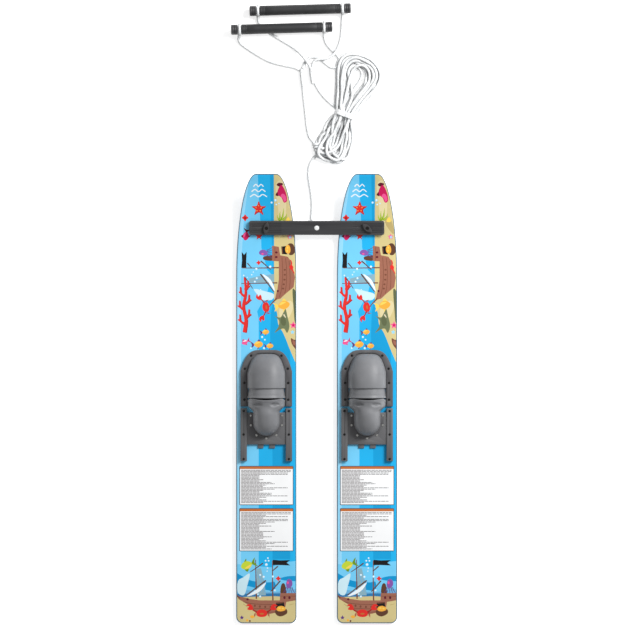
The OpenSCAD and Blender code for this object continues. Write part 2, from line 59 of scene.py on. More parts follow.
# Camera: straight down on the laid-out set, far away with a long lens

VIEW_WIDTH = 1.629
VIEW_CENTRE = (-0.011, 0.001)
CAMERA_HEIGHT = 9.0
SENSOR = 36.0

camera_data = bpy.data.cameras.new("camera")
camera_data.sensor_width = SENSOR
camera_data.lens = SENSOR * CAMERA_HEIGHT / VIEW_WIDTH
camera_data.clip_end = 40.0
camera = bpy.data.objects.new("camera", camera_data)
camera.location = (*VIEW_CENTRE, CAMERA_HEIGHT)
bpy.context.scene.collection.objects.link(camera)
bpy.context.scene.camera = camera
bpy.context.scene.view_settings.view_transform = "Standard"


# Small tools

def linked(name, data):
    """A new object for some data, in the scene's collection."""
    obj = bpy.data.objects.new(name, data)
    bpy.context.scene.collection.objects.link(obj)
    return obj


def add_object(name, verts, faces, material=None):
    """A mesh object from lists of points and faces."""
    mesh = bpy.data.meshes.new(name)
    mesh.from_pydata([tuple(v) for v in verts], [], [tuple(f) for f in faces])
    mesh.validate()
    mesh.update()
    if material:
        mesh.materials.append(material)
    mesh.shade_smooth()
    return linked(name, mesh)


def place(obj, body, slot, *replaced):
    """Puts a piece on its body and hides the CAD nodes it stands for; the slot is not used."""
    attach(obj, body)
    if replaced:
        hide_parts(*replaced)
    return obj


def sharpen(obj, degrees):
    """Keeps edges over an angle crisp in smooth shading."""
    obj.data.set_sharp_from_angle(angle=math.radians(degrees))


def spline(a, b, c, d, t):
    """The point at share t between b and c on a smooth curve through a, b, c and d."""
    return 0.5 * (2 * b + (c - a) * t + (2 * a - 5 * b + 4 * c - d) * t ** 2
                  + (3 * b - a - 3 * c + d) * t ** 3)


def catmull(points, gap):
    """Points a fixed distance apart on a smooth curve through the given points."""
    p = np.array(points, float)
    p = np.vstack([2 * p[0] - p[1], p, 2 * p[-1] - p[-2]])
    shares = np.arange(CURVE_STEPS) / CURVE_STEPS
    out = [spline(*p[i - 1:i + 3], t) for i in range(1, len(p) - 2) for t in shares]
    out.append(p[-2])
    out = np.array(out)
    run = np.concatenate([[0], np.cumsum(np.linalg.norm(np.diff(out, axis=0), axis=1))])
    count = max(2, round(run[-1] / gap) + 1)
    at = np.linspace(0, run[-1], count)
    return np.stack([np.interp(at, run, out[:, k]) for k in range(3)], axis=1)


def path_frames(path):
    """Tangent, side and up vectors along a path, turning as little as they can."""
    tangent = np.gradient(path, axis=0)
    tangent /= np.linalg.norm(tangent, axis=1)[:, None]
    side = np.cross(tangent[0], (0.02, 0.03, 1.0))
    sides = []
    for t in tangent:
        side = side - t * np.dot(side, t)
        side /= np.linalg.norm(side)
        sides.append(side)
    sides = np.array(sides)
    return tangent, sides, np.cross(tangent, sides)


def grid_faces(rows, cols, wrap):
    last = cols if wrap else cols - 1
    return [(r * cols + c, r * cols + (c + 1) % cols, (r + 1) * cols + (c + 1) % cols, (r + 1) * cols + c)
            for r in range(rows - 1) for c in range(last)]


# Materials: every surface is made of nodes, in object space

TONE_SPREAD = 0.2
COAT_ROUGHNESS = 0.12
WORN_SPAN = (0.515, 0.56)
# Painted shade on the rope, in its braid grooves and down its sides
GROOVE_SHADE = 0.6
SIDE_SHADE = 0.3


def to_linear(rgb):
    """Colour given as the eye sees it, 0 to 255, as Blender's linear values."""
    return [((c / 255 + 0.055) / 1.055) ** 2.4 if c > 10 else c / 255 / 12.92 for c in rgb] + [1.0]


def mapped(tree, value, given, result=(0.0, 1.0)):
    """Maps a value from one span to another."""
    node = tree.nodes.new("ShaderNodeMapRange")
    for label, span in (("From", given), ("To", result)):
        node.inputs[label + " Min"].default_value = span[0]
        node.inputs[label + " Max"].default_value = span[1]
    tree.links.new(value, node.inputs["Value"])
    return node.outputs["Result"]


def surface(name, rgb, other=None, spots=40.0, grain=900.0, bump=0.12, rough=(0.35, 0.5),
            stretch=(1, 1, 1), metallic=0.0, coat=0.0, sheen=0.0, specular=0.5, share=0.5, depth=0.0003):
    """A material that varies in colour between two tones, with fine grain and uneven roughness."""
    mat = bpy.data.materials.new(name)
    mat.use_nodes = True
    nodes, links = mat.node_tree.nodes, mat.node_tree.links
    shader = nodes["Principled BSDF"]
    shader.inputs["Metallic"].default_value = metallic
    shader.inputs["Coat Weight"].default_value = coat
    shader.inputs["Coat Roughness"].default_value = COAT_ROUGHNESS
    shader.inputs["Sheen Weight"].default_value = sheen
    shader.inputs["Specular IOR Level"].default_value = specular
    mat.diffuse_color = to_linear(rgb)

    coords = nodes.new("ShaderNodeTexCoord")
    mapping = nodes.new("ShaderNodeMapping")
    mapping.inputs["Scale"].default_value = stretch
    links.new(coords.outputs["Object"], mapping.inputs["Vector"])

    def noise(scale, detail):
        node = nodes.new("ShaderNodeTexNoise")
        node.inputs["Scale"].default_value = scale
        node.inputs["Detail"].default_value = detail
        links.new(mapping.outputs["Vector"], node.inputs["Vector"])
        return node

    wide, fine = noise(spots, 5.0), noise(grain, 3.0)
    ramp = nodes.new("ShaderNodeValToRGB")
    ramp.color_ramp.elements[0].position = share - TONE_SPREAD
    ramp.color_ramp.elements[0].color = to_linear(rgb)
    ramp.color_ramp.elements[1].position = share + TONE_SPREAD
    ramp.color_ramp.elements[1].color = to_linear(other or [c * 0.9 for c in rgb])
    links.new(wide.outputs["Fac"], ramp.inputs["Fac"])
    links.new(ramp.outputs["Color"], shader.inputs["Base Color"])

    links.new(mapped(mat.node_tree, wide.outputs["Fac"], (0, 1), rough), shader.inputs["Roughness"])

    relief = nodes.new("ShaderNodeBump")
    relief.inputs["Strength"].default_value = bump
    relief.inputs["Distance"].default_value = depth
    links.new(fine.outputs["Fac"], relief.inputs["Height"])
    links.new(relief.outputs["Normal"], shader.inputs["Normal"])
    return mat


def worn_edges(mat, rgb):
    """Lightens the convex edges of a moulded part, where hands and sand rub it."""
    nodes, links = mat.node_tree.nodes, mat.node_tree.links
    shader = nodes["Principled BSDF"]
    source = shader.inputs["Base Color"].links[0].from_socket
    geometry = nodes.new("ShaderNodeNewGeometry")
    mix = nodes.new("ShaderNodeMix")
    mix.data_type = "RGBA"
    mix.inputs["B"].default_value = to_linear(rgb)
    links.new(mapped(mat.node_tree, geometry.outputs["Pointiness"], WORN_SPAN), mix.inputs["Factor"])
    links.new(source, mix.inputs["A"])
    links.new(mix.outputs["Result"], shader.inputs["Base Color"])
    return mat


def rope_material():
    """White braid with painted shade: darker in the grooves between its strands and greyer down its sides,
    where less light reaches.
    """
    mat = surface("rope_braid", (245, 246, 246), (232, 235, 237), spots=60, grain=2500, bump=0.35,
                  rough=(0.45, 0.62), sheen=0.25, specular=0.35)
    nodes, links = mat.node_tree.nodes, mat.node_tree.links
    shader = nodes["Principled BSDF"]
    source = shader.inputs["Base Color"].links[0].from_socket
    strand = nodes.new("ShaderNodeAttribute")
    strand.attribute_name = "strand"
    # painted shade: the braid's grooves darkened where its strands meet
    groove = mapped(mat.node_tree, strand.outputs["Fac"], (0.0, 0.55), (GROOVE_SHADE, 1.0))
    side = nodes.new("ShaderNodeSeparateXYZ")
    links.new(nodes.new("ShaderNodeNewGeometry").outputs["Normal"], side.inputs["Vector"])
    # painted shade: the rope's sides darkened by how far their normal tips from straight up
    painted_side_shade = mapped(mat.node_tree, side.outputs["Z"], (0.15, 0.85), (SIDE_SHADE, 1.0))
    for factor in (groove, painted_side_shade):
        shade = nodes.new("ShaderNodeMix")
        shade.data_type = "RGBA"
        shade.blend_type = "MULTIPLY"
        shade.inputs["Factor"].default_value = 1.0
        links.new(source, shade.inputs["A"])
        links.new(factor, shade.inputs["B"])
        source = shade.outputs["Result"]
    links.new(source, shader.inputs["Base Color"])
    return mat


ROPE = rope_material()
BLACK_PLASTIC = worn_edges(surface("black_plastic", (52, 52, 54), (42, 42, 44), spots=26, grain=1600,
                                   bump=0.25, rough=(0.34, 0.5), stretch=(0.35, 1, 1)), (86, 86, 88))
KNOB_PLASTIC = worn_edges(surface("knob_plastic", (36, 36, 38), (28, 28, 31), spots=60, grain=2200,
                                  bump=0.25, rough=(0.4, 0.55)), (70, 70, 72))
GREY_PLASTIC = worn_edges(surface("grey_plastic", (68, 67, 70), (60, 59, 62), spots=34, grain=1900,
                                  bump=0.3, rough=(0.45, 0.6)), (100, 100, 102))
GREY_RUBBER = surface("grey_rubber", (124, 125, 128), (112, 113, 116), spots=22, grain=2600, bump=0.3,
                      rough=(0.38, 0.5), specular=0.3)
FOOT_FOAM = surface("foot_foam", (128, 129, 132), (112, 113, 117), spots=70, grain=1400, bump=0.6,
                    rough=(0.75, 0.9))
BLACK_RUBBER = surface("black_rubber", (42, 42, 44), (34, 34, 36), spots=50, grain=2200, bump=0.3,
                       rough=(0.4, 0.6))
BLACK_FOAM = surface("black_foam", (34, 35, 37), (26, 27, 29), spots=90, grain=1500, bump=0.7,
                     rough=(0.5, 0.7), sheen=0.15)
BLACK_STEEL = surface("black_steel", (32, 32, 34), (48, 47, 46), spots=300, grain=3000, bump=0.15,
                      rough=(0.3, 0.45), metallic=0.7)
BRIGHT_STEEL = surface("bright_steel", (214, 214, 210), (180, 180, 178), spots=500, grain=3500, bump=0.15,
                       rough=(0.22, 0.35), metallic=0.9)
ALUMINIUM = surface("aluminium", (200, 202, 205), (176, 178, 182), spots=200, grain=3000, bump=0.2,
                    rough=(0.25, 0.4), metallic=1.0)
EDGE_PAINT = surface("edge_paint", (92, 116, 132), (76, 100, 118), spots=30, grain=1500, bump=0.15,
                     rough=(0.25, 0.4), stretch=(1, 0.2, 6), coat=0.4)
TAPE = surface("white_tape", (244, 245, 245), (232, 234, 236), spots=80, grain=1800, bump=0.5,
               rough=(0.5, 0.65), stretch=(1, 1, 4), sheen=0.3)
NYLON = surface("white_nylon", (240, 241, 240), (226, 228, 228), spots=200, grain=2600, bump=0.15,
                rough=(0.3, 0.4))


# Rope: routes in metres, the same points as the CAD model's

ROPE_D = 8 * MM
ROPE_R = ROPE_D / 2
RING_GAP = 1.7 * MM
ROPE_RING = 16
STRANDS = 4
BRAID_PITCH = 16 * MM
BRAID_DEPTH = 0.055
END_BULGE = 0.25
SPLICE_THIN, SPLICE_SWELL = 1.08, 0.42
TUCK_DEPTH, TUCK_RATE = 0.05, 40

TOW_LEFT = [
    (-.153, .775, .010), (-.152, .762, .005), (-.146, .748, .004), (-.132, .735, .004), (-.112, .722, .004),
    (-.090, .709, .004), (-.070, .697, .004), (-.053, .685, .007), (-.041, .673, .011), (-.030, .660, .0127),
    (-.022, .649, .0115), (-.016, .636, .008),
]
TOW_RIGHT = [
    (.067, .781, .010), (.067, .768, .005), (.066, .750, .004), (.065, .730, .004), (.062, .710, .006),
    (.056, .691, .010), (.047, .676, .0127), (.034, .666, .0126), (.018, .661, .0125), (.003, .660, .0125),
    (-.008, .653, .010), (-.012, .636, .008),
]
SKIER_LEFT = [
    (-.201, .725, .019), (-.203, .714, .009), (-.198, .702, .004), (-.180, .688, .004), (-.150, .669, .004),
    (-.120, .654, .004), (-.086, .645, .004), (-.058, .639, .004), (-.042, .631, .005),
]
SKIER_RIGHT = [
    (.019, .732, .010), (.020, .719, .005), (.024, .704, .004), (.034, .690, .004), (.047, .677, .004),
    (.058, .664, .004), (.060, .650, .004), (.051, .640, .004), (.037, .640, .004), (.024, .649, .004),
    (.011, .659, .004), (-.003, .666, .004), (-.017, .665, .004), (-.029, .654, .004), (-.037, .636, .005),
]
SKIER_LINE = [
    (-.039, .634, .005), (-.038, .612, .005), (-.036, .590, .005), (-.034, .566, .004), (-.031, .540, .004),
    (-.028, .512, .004), (-.025, .484, .004), (-.019, .459, .004), (-.007, .443, .004), (.002, .429, .004),
    (.000, .413, .004), (-.011, .399, .004), (-.019, .381, .004), (-.021, .359, .004), (-.018, .335, .004),
    (-.014, .311, .004), (-.012, .288, .004), (-.012, .267, .004), (-.013, .250, .005), (-.011, .239, .008),
    (-.006, .230, .015), (-.0015, .225, .023), (.000, .2218, .031),
]
TOW_LINE = [
    (-.014, .636, .008), (-.013, .616, .006), (-.010, .597, .004), (-.003, .577, .004), (.009, .559, .004),
    (.024, .546, .004), (.038, .533, .006), (.050, .520, .009),
]


def braid(run, angle):
    """Height of a diamond braid's strands, 0 in the grooves and 1 on the crowns."""
    twist = 2 * math.pi * run / BRAID_PITCH
    right = np.cos(STRANDS * angle + twist)
    left = np.cos(STRANDS * angle - twist)
    return (1 + np.maximum(right, left)) / 2


def rope_mesh(name, path, radius=ROPE_R):
    """A braided tube along a path that is already evenly spaced."""
    tangent, side, up = path_frames(path)
    count = len(path)
    run = np.concatenate([[0], np.cumsum(np.linalg.norm(np.diff(path, axis=0), axis=1))])[:, None]
    angle = np.linspace(0, 2 * math.pi, ROPE_RING, endpoint=False)[None, :]
    strand = braid(run, angle)
    size = radius * (1 + BRAID_DEPTH * (strand - 0.5))
    points = (path[:, None, :] + (size * np.cos(angle))[:, :, None] * side[:, None, :]
              + (size * np.sin(angle))[:, :, None] * up[:, None, :])
    verts = points.reshape(-1, 3).tolist()
    faces = grid_faces(count, ROPE_RING, True)
    verts += [path[0] - tangent[0] * radius * END_BULGE, path[-1] + tangent[-1] * radius * END_BULGE]
    last = (count - 1) * ROPE_RING
    for k in range(ROPE_RING):
        nxt = (k + 1) % ROPE_RING
        faces.append((len(verts) - 2, nxt, k))
        faces.append((len(verts) - 1, last + k, last + nxt))
    obj = add_object(name, verts, faces, ROPE)
    values = strand.reshape(-1).tolist() + [0.5, 0.5]
    obj.data.attributes.new("strand", "FLOAT", "POINT").data.foreach_set("value", values)
    return obj


def splice_mesh(name, path):
    """The thick tapering stretch where the two legs are tucked back into their line."""
    t = np.linspace(0, 1, len(path))
    obj = rope_mesh(name, path, 1.0)
    radius = ROPE_R * (SPLICE_THIN + SPLICE_SWELL * (1 - t) ** 0.7 + TUCK_DEPTH * np.cos(t * TUCK_RATE))
    points = np.array([v.co for v in obj.data.vertices])
    body = points[:-2].reshape(len(path), ROPE_RING, 3)
    body = path[:, None, :] + (body - path[:, None, :]) * radius[:, None, None]
    ends = [path[0] - (path[1] - path[0]), path[-1] + (path[-1] - path[-2])]
    obj.data.vertices.foreach_set("co", np.concatenate([body.reshape(-1, 3), ends]).reshape(-1))
    obj.data.update()
    return obj


# The hank: the tow line's turns, drawn in at the waist and laid down under their own weight

HANK_TOP = Vector((.114, .619, 0))
HANK_WAIST = Vector((.073, .516, 0))
HANK_LOW = Vector((.048, .432, 0))
HANK_TURNS = 13
TURN_STEPS = 96
HANK_GAP = 7.5 * MM
CROSSED_TURNS = (8,)
WAIST_HALF = 21 * MM
WAIST_HEIGHT = 31 * MM
INTO_KNOT = [(.010, .415, .018), (.004, .422, .015)]
LOW_BUNCHES = [(-29, 117), (-8, 130), (27, 120), (11, 130)]
SETTLE_ROUNDS = 70
SMOOTH_ROUNDS = 40
SINK = 0.3 * MM
EASE = 0.12
LONGEST_PUSH = 2 * MM


def hank_start():
    """Turns of the hank before they settle: long loops that nest at the top and bunch at the bottom."""
    axis = (HANK_TOP - HANK_LOW).normalized()
    across = Vector((axis.y, -axis.x, 0))
    points = []
    for turn in range(HANK_TURNS):
        nest = (turn * 5 % HANK_TURNS) / (HANK_TURNS - 1)
        bunch_side, bunch_len = LOW_BUNCHES[turn % len(LOW_BUNCHES)]
        waist = 6 + 14 * nest
        top_half, top_len = 14 + 37 * nest, 134 + 26 * nest
        low_half, low_len = 16 + 8 * (turn * 7 % HANK_TURNS) / HANK_TURNS, bunch_len - 3 * (turn % 3)
        inner_lean = (15 if turn % 2 else -16) * max(0, 1 - 1.5 * nest)
        height = 6 + 26 * turn / (HANK_TURNS - 1)
        for step in range(TURN_STEPS):
            phase = 2 * math.pi * step / TURN_STEPS
            rise, spread = math.sin(phase), -math.cos(phase)
            if rise >= 0:
                along, half = top_len * rise, waist + 2.6 * top_half * rise ** 2
                lean = nest * (9 * rise ** 2 - 26 * rise ** 6) + inner_lean * rise ** 2
            else:
                along, half = low_len * rise, waist + 2.6 * low_half * rise ** 2
                lean = bunch_side * rise ** 2
            lift = 0
            if turn in CROSSED_TURNS and rise > 0:
                lift = 5 * spread
                spread *= math.cos(math.pi * min(1, 1.9 * rise ** 2))
            side = spread * half + lean + 1.5 * math.sin(3 * phase + turn)
            points.append(HANK_WAIST + (axis * along + across * side + Vector((0, 0, height + lift))) * MM)
    return np.array(points), np.array(axis), np.array(across)


def settle(points, axis, across, fixed, rounds):
    """Lays a rope down: its turns push each other apart, keep their length and rest on the floor."""
    rest = np.linalg.norm(np.diff(points, axis=0), axis=1)
    first, second = np.triu_indices(len(points), 3)
    clear = ROPE_D * 1.03
    held = np.zeros(len(points), bool)
    held[:3] = held[-2:] = True
    anchor = points[held].copy()
    for _ in range(rounds):
        points[:, 2] -= SINK
        points[1:-1] += EASE * ((points[:-2] + points[2:]) / 2 - points[1:-1])
        gap = points[first] - points[second]
        dist = np.sqrt((gap ** 2).sum(1)) + 1e-9
        near = dist < clear
        push = gap[near] * ((clear - dist[near]) * 0.4 / dist[near])[:, None]
        move = np.zeros_like(points)
        np.add.at(move, first[near], push)
        np.add.at(move, second[near], -push)
        off = points[:, None, :] - fixed[None, :, :]
        far = np.sqrt((off ** 2).sum(2)) + 1e-9
        move += (off * (np.clip(clear - far, 0, None) / far)[:, :, None]).sum(1)
        size = np.linalg.norm(move, axis=1) + 1e-9
        points += move * np.minimum(1, LONGEST_PUSH / size)[:, None]
        for _ in range(4):
            link = np.diff(points, axis=0)
            size = np.linalg.norm(link, axis=1)
            pull = link * ((size - rest) / size * 0.5)[:, None]
            points[:-1] += pull
            points[1:] -= pull
        rel = points - np.array(HANK_WAIST)
        side = rel @ across
        waist = np.abs(rel @ axis) < 9 * MM
        points += np.where(waist, np.clip(side, -WAIST_HALF, WAIST_HALF) - side, 0)[:, None] * across
        points[waist, 2] = np.minimum(points[waist, 2], WAIST_HEIGHT - ROPE_R)
        points[:, 2] = np.maximum(points[:, 2], ROPE_R)
        points[held] = anchor
    return points


def tow_path():
    """The whole tow line: from its splice, through the hank, to its knot on the skier line."""
    loops, axis, across = hank_start()
    start, end = round(TURN_STEPS * 0.56), round(TURN_STEPS * 0.27)
    whole = catmull(np.vstack([TOW_LINE[:-1], loops[start:-end:4], INTO_KNOT]), HANK_GAP)
    fixed = catmull(SKIER_LINE[6:14], ROPE_D)
    path = catmull(settle(whole, axis, across, fixed, SETTLE_ROUNDS), RING_GAP)
    for _ in range(SMOOTH_ROUNDS):
        path[1:-1] += 0.5 * ((path[:-2] + path[2:]) / 2 - path[1:-1])
    return catmull(path[::4], RING_GAP)


def rope_piece(name, path, replaced):
    """A braided rope along a path, put on the spreader's body."""
    obj = rope_mesh(name, path)
    place(obj, "spreader", "white_rope", *replaced)
    return obj


def splice_piece(name, route, replaced):
    """A sleeve over the first points of a line, where its two legs are tucked in."""
    path = catmull(route[:3], RING_GAP)
    path[:, 2] += 0.5 * ROPE_R
    return place(splice_mesh(name, path), "spreader", "white_rope", replaced)


skier_splice = splice_piece("skier_splice_sleeve", SKIER_LINE, "skier_splice")
tow_splice = splice_piece("tow_splice_sleeve", TOW_LINE, "tow_splice")
tow_points = tow_path()
rope_piece("skier_rope", catmull(SKIER_LINE, RING_GAP), ["skier_line"])
rope_piece("tow_rope", tow_points, ["tow_line", "hank"])
for leg_name, leg in {"skier_bridle_left": SKIER_LEFT, "skier_bridle_right": SKIER_RIGHT,
                      "tow_bridle_left": TOW_LEFT, "tow_bridle_right": TOW_RIGHT}.items():
    rope_piece(leg_name + "_rope", catmull(leg, RING_GAP), [leg_name])


# Knot: the tow line's end, wound round the skier's line, with a short free end

def knot_path():
    line = catmull(SKIER_LINE, RING_GAP)
    at = int(np.argmin(np.abs(line[:, 1] - .430) + np.abs(line[:, 2] - .004)))
    turns, gap, out = 3, ROPE_D * 0.98, ROPE_D * 0.95
    along = (line[at + 4] - line[at - 4]) / np.linalg.norm(line[at + 4] - line[at - 4])
    side = np.cross(along, (0, 0, 1))
    up = np.cross(side, along)
    t = np.linspace(0, turns, 24 * turns)
    wind = (line[at] + np.outer((t - turns / 2) * gap, along) + out * np.outer(np.cos(2 * math.pi * t), side)
            + out * np.outer(np.sin(2 * math.pi * t), up))
    wind[:, 2] = np.maximum(wind[:, 2] + 3 * MM, ROPE_R)
    tail = [wind[-1] + np.array(step) * MM for step in ((3, -6, -2), (9, -10, -5), (17, -12, -7))]
    path = catmull(np.vstack([wind[::3], tail]), RING_GAP)
    path[:, 2] = np.maximum(path[:, 2], ROPE_R)
    return path


# Tie: a soft tape round the settled turns at the hank's waist

def tie_mesh(name, path):
    """A tape that follows the outline of the turns it holds together."""
    axis = np.array((HANK_TOP - HANK_LOW).normalized())
    across = np.array((axis[1], -axis[0], 0))
    rel = path - np.array(HANK_WAIST)
    cut = rel[np.abs(rel @ axis) < 3 * MM]
    centres = np.stack([cut @ across, cut[:, 2]], axis=1)
    middle = centres.mean(axis=0)
    rings, ring = 9, 72
    rows = []
    for thick in (0.2 * MM, 1.1 * MM):
        for k in range(rings):
            t = k / (rings - 1) * 2 - 1
            row = []
            for j in range(ring):
                angle = 2 * math.pi * j / ring
                way = np.array((math.cos(angle), math.sin(angle)))
                reach = (centres @ way).max() + ROPE_R
                fold = 0.35 * MM * math.sin(5 * angle + 3 * t) * (1 - abs(t))
                corner = way * (reach - middle @ way + thick + fold - 0.5 * MM * abs(t) ** 3) + middle
                row.append(np.array(HANK_WAIST) + axis * t * 6.5 * MM + across * corner[0]
                           + np.array((0, 0, max(corner[1], 0.6 * MM + thick * 0.5))))
            rows.append(row)
    verts = [v for row in rows for v in row]
    inner = grid_faces(rings, ring, True)
    outer = [tuple(reversed([i + rings * ring for i in f])) for f in inner]
    rim = []
    for a, b in ((0, rings * ring), ((2 * rings - 1) * ring, (rings - 1) * ring)):
        rim += [(a + j, b + j, b + (j + 1) % ring, a + (j + 1) % ring) for j in range(ring)]
    return add_object(name, verts, inner + outer + rim, TAPE)


place(rope_mesh("tow_knot", knot_path()), "spreader", "white_rope")
place(tie_mesh("hank_tape", tow_points), "spreader", "white_tie", "hank_tie")


# Skis: the same outline and side view as the CAD model's, from its box

core_low, core_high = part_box("ski_core_left")
TAIL_V, TIP_V = core_low[1], core_high[1]
SKI_HALF = (core_high[0] - core_low[0]) / 2
SKI_X = -(core_high[0] + core_low[0]) / 2
ROCKER_LEN, ROCKER_RISE = 250 * MM, 62 * MM
SKI_T, TIP_T, TAIL_T, TAPER_LEN = 18 * MM, 9 * MM, 13 * MM, 110 * MM
SHOULDER, TIP_HALF, CORNER_R = 270 * MM, 26 * MM, 17 * MM
SHEET_T = 1 * MM
ROCKER_R = (ROCKER_LEN ** 2 + ROCKER_RISE ** 2) / (2 * ROCKER_RISE)


def base_z(v):
    rise = v - (TIP_V - ROCKER_LEN)
    return 0 if rise <= 0 else ROCKER_R - math.sqrt(ROCKER_R ** 2 - rise ** 2)


def deck_z(v):
    rise, taper = (v - TIP_V + ROCKER_LEN) / ROCKER_LEN, (v - TAIL_V) / TAPER_LEN
    if rise > 0:
        return base_z(v) + SKI_T + (TIP_T - SKI_T) * rise
    return SKI_T if taper >= 1 else TAIL_T + (SKI_T - TAIL_T) * max(taper, 0)


def ski_outline(inset=0.0):
    """Outline of a ski in metres, moved in by inset."""
    half = []
    for i in range(9):
        a = math.radians(-90 + 90 * i / 8)
        half.append((SKI_HALF - CORNER_R + (CORNER_R - inset) * math.cos(a),
                     TAIL_V + CORNER_R + (CORNER_R - inset) * math.sin(a)))
    for i in range(25):
        a = math.radians(90 * i / 24)
        half.append((TIP_HALF + (SKI_HALF - TIP_HALF - inset) * math.cos(a),
                     TIP_V - SHOULDER + (SHOULDER - inset) * math.sin(a)))
    return half + [(-u, v) for u, v in reversed(half)]


# Print: flat shapes in the ski's plane in millimetres, u across and v along, painted in order

INK_COLOURS = {
    "light": (116, 205, 246), "pale": (152, 219, 252), "mid": (30, 178, 236), "deep": (14, 160, 218),
    "sand": (214, 198, 140), "sand_light": (228, 214, 166), "sand_dark": (190, 170, 112),
    "edge": (92, 116, 132), "red": (226, 46, 40), "dark_red": (160, 28, 30),
    "white": (240, 248, 252), "pink": (242, 88, 150), "magenta": (206, 24, 90), "maroon": (96, 22, 40),
    "green": (110, 150, 34), "lime": (196, 214, 60), "yellow": (250, 214, 96), "gold": (247, 178, 66),
    "orange": (196, 110, 52), "hull": (160, 104, 84), "plank": (120, 72, 54), "timber": (96, 62, 44),
    "black": (22, 20, 22), "cream": (236, 222, 190), "purple": (135, 90, 172), "violet": (96, 60, 128),
    "grey_sail": (138, 176, 190), "white_sail": (206, 236, 246), "wave": (2, 148, 208),
    "slate_sea": (110, 178, 222), "navy_sea": (44, 122, 176), "ray": (112, 122, 88), "weed": (96, 104, 72),
    "paper": (250, 251, 252), "rule": (96, 94, 96), "faint_rule": (158, 155, 156), "slate": (64, 82, 98),
}
inks = {}


def ink(name):
    if name not in inks:
        tone = INK_COLOURS[name]
        other = [c * 0.955 for c in tone]
        inks[name] = surface("ink_" + name, tone, other, spots=9, grain=1500, bump=0.06, rough=(0.34, 0.46),
                             coat=0.08, specular=0.22)
    return inks[name]


def turned(points, at=(0, 0), turn=0.0, size=1.0, flip=1):
    c, s = math.cos(math.radians(turn)) * size, math.sin(math.radians(turn)) * size
    return [(at[0] + c * flip * x - s * y, at[1] + s * flip * x + c * y) for x, y in points]


def oval(u, v, a, b, turn=0.0, count=18):
    angles = [2 * math.pi * i / count for i in range(count)]
    return turned([(a * math.cos(k), b * math.sin(k)) for k in angles], (u, v), turn)


def star(u, v, radius, waist=0.5, arms=5, turn=0.0):
    ring = []
    for i in range(2 * arms):
        r, a = radius * (waist if i % 2 else 1), math.pi * i / arms
        ring.append((r * math.sin(a), r * math.cos(a)))
    return blob(turned(ring, (u, v), turn), 3)


def blob(points, steps=4):
    """A smooth closed shape through its points."""
    p = np.array(points, float)
    rounds = zip(np.roll(p, 1, 0), p, np.roll(p, -1, 0), np.roll(p, -2, 0))
    return [tuple(spline(*four, t)) for four in rounds for t in np.arange(steps) / steps]


def stroke(points, width, end_width=None):
    """A band along a smooth line, which may narrow to its end."""
    line = catmull([(x, y, 0) for x, y in points], max(2.5, width))[:, :2]
    way = np.gradient(line, axis=0)
    way /= np.linalg.norm(way, axis=1)[:, None]
    side = np.stack([-way[:, 1], way[:, 0]], axis=1)
    half = np.linspace(width, width if end_width is None else end_width, len(line))[:, None] / 2
    return [tuple(p) for p in np.vstack([line + side * half, (line - side * half)[::-1]])]


class Print:
    """Shapes painted in order, each with its ink, in a frame that can be turned and scaled."""

    def __init__(self):
        self.shapes = []
        self.frame = {}

    def at(self, place=(0, 0), turn=0.0, size=1.0, flip=1):
        self.frame = {"at": place, "turn": turn, "size": size, "flip": flip}
        return self

    def add(self, colour, *shapes):
        for shape in shapes:
            self.shapes.append((colour, turned(shape, **self.frame)))
        return self


def paint_fish(art, place, turn, size, body, back, fin, flip=1):
    """A small rounded fish, 20 long at size 1, that swims to +x."""
    art.at(place, turn, size, flip)
    art.add(fin, blob([(-7, 0), (-15, 7), (-12, 0), (-15, -7)]), blob([(-1, 5), (3, 10), (6, 4)]),
            blob([(0, -5), (-2, -10), (4, -5)]))
    art.add(body, blob([(-8, 0), (-2, 6), (6, 5), (10, 0), (6, -5), (-2, -6)]))
    art.add(back, blob([(-6, 1), (-2, 5), (5, 4), (1, 2)]))


def paint_crab(art, place, turn, size):
    """A plain crab: shell, legs and two claws on jointed arms."""
    art.at(place, turn, size)
    for side in (-1, 1):
        for v in (-3, 0, 3):
            art.add("dark_red", stroke([(8 * side, v - 3), (17 * side, v), (21 * side, v - 7)], 2, 1))
        art.add("dark_red", stroke([(9 * side, 3), (20 * side, 8), (27 * side, 14)], 4, 3.4))
        claw = [(24, 12), (26, 22), (34, 27), (43, 22), (35, 20), (40, 13), (33, 10)]
        art.add("red", blob([(u * side, v) for u, v in claw]))
    art.add("red", blob([(-14, 4), (-12, -6), (0, -9), (12, -6), (14, 4), (9, 10), (0, 12), (-9, 10)]))
    art.add("orange", oval(0, 0, 6, 2.5))


def paint_coral(art, place):
    """A coral: a bent stem with forked branches to both sides."""
    shapes = [stroke([(0, -72), (4, -40), (-3, -5), (3, 30), (0, 70)], 10, 4)]
    for v, reach in ((-50, -17), (-36, 17), (-14, -18), (2, 17), (22, -15), (38, 13)):
        shapes.append(stroke([(0, v), (0.6 * reach, v + 7), (0.7 * reach, v + 24)], 6.5, 3.4))
        shapes.append(stroke([(0.5 * reach, v + 6), (reach, v + 11)], 5, 3))
    art.at((place[0] + 1.6, place[1] - 1.6)).add("dark_red", *shapes)
    art.at(place).add("red", *shapes)


def paint_chest(art, place, turn, size):
    """An open chest, filled."""
    art.at(place, turn, size)
    art.add("timber", blob([(-15, -2), (0, 4), (15, 1), (16, -11), (-1, -19), (-14, -13)]))
    art.add("black", [(-14, 4), (-13, 19), (8, 21), (10, 7)])
    art.add("plank", stroke([(-12, 17), (7, 19)], 2.5))
    art.add("gold", blob([(-12, 1), (-8, 8), (2, 10), (11, 6), (12, -1), (2, -5), (-8, -4)]))
    art.add("yellow", oval(-4, 4, 3.5, 2), oval(5, 3, 3, 2))


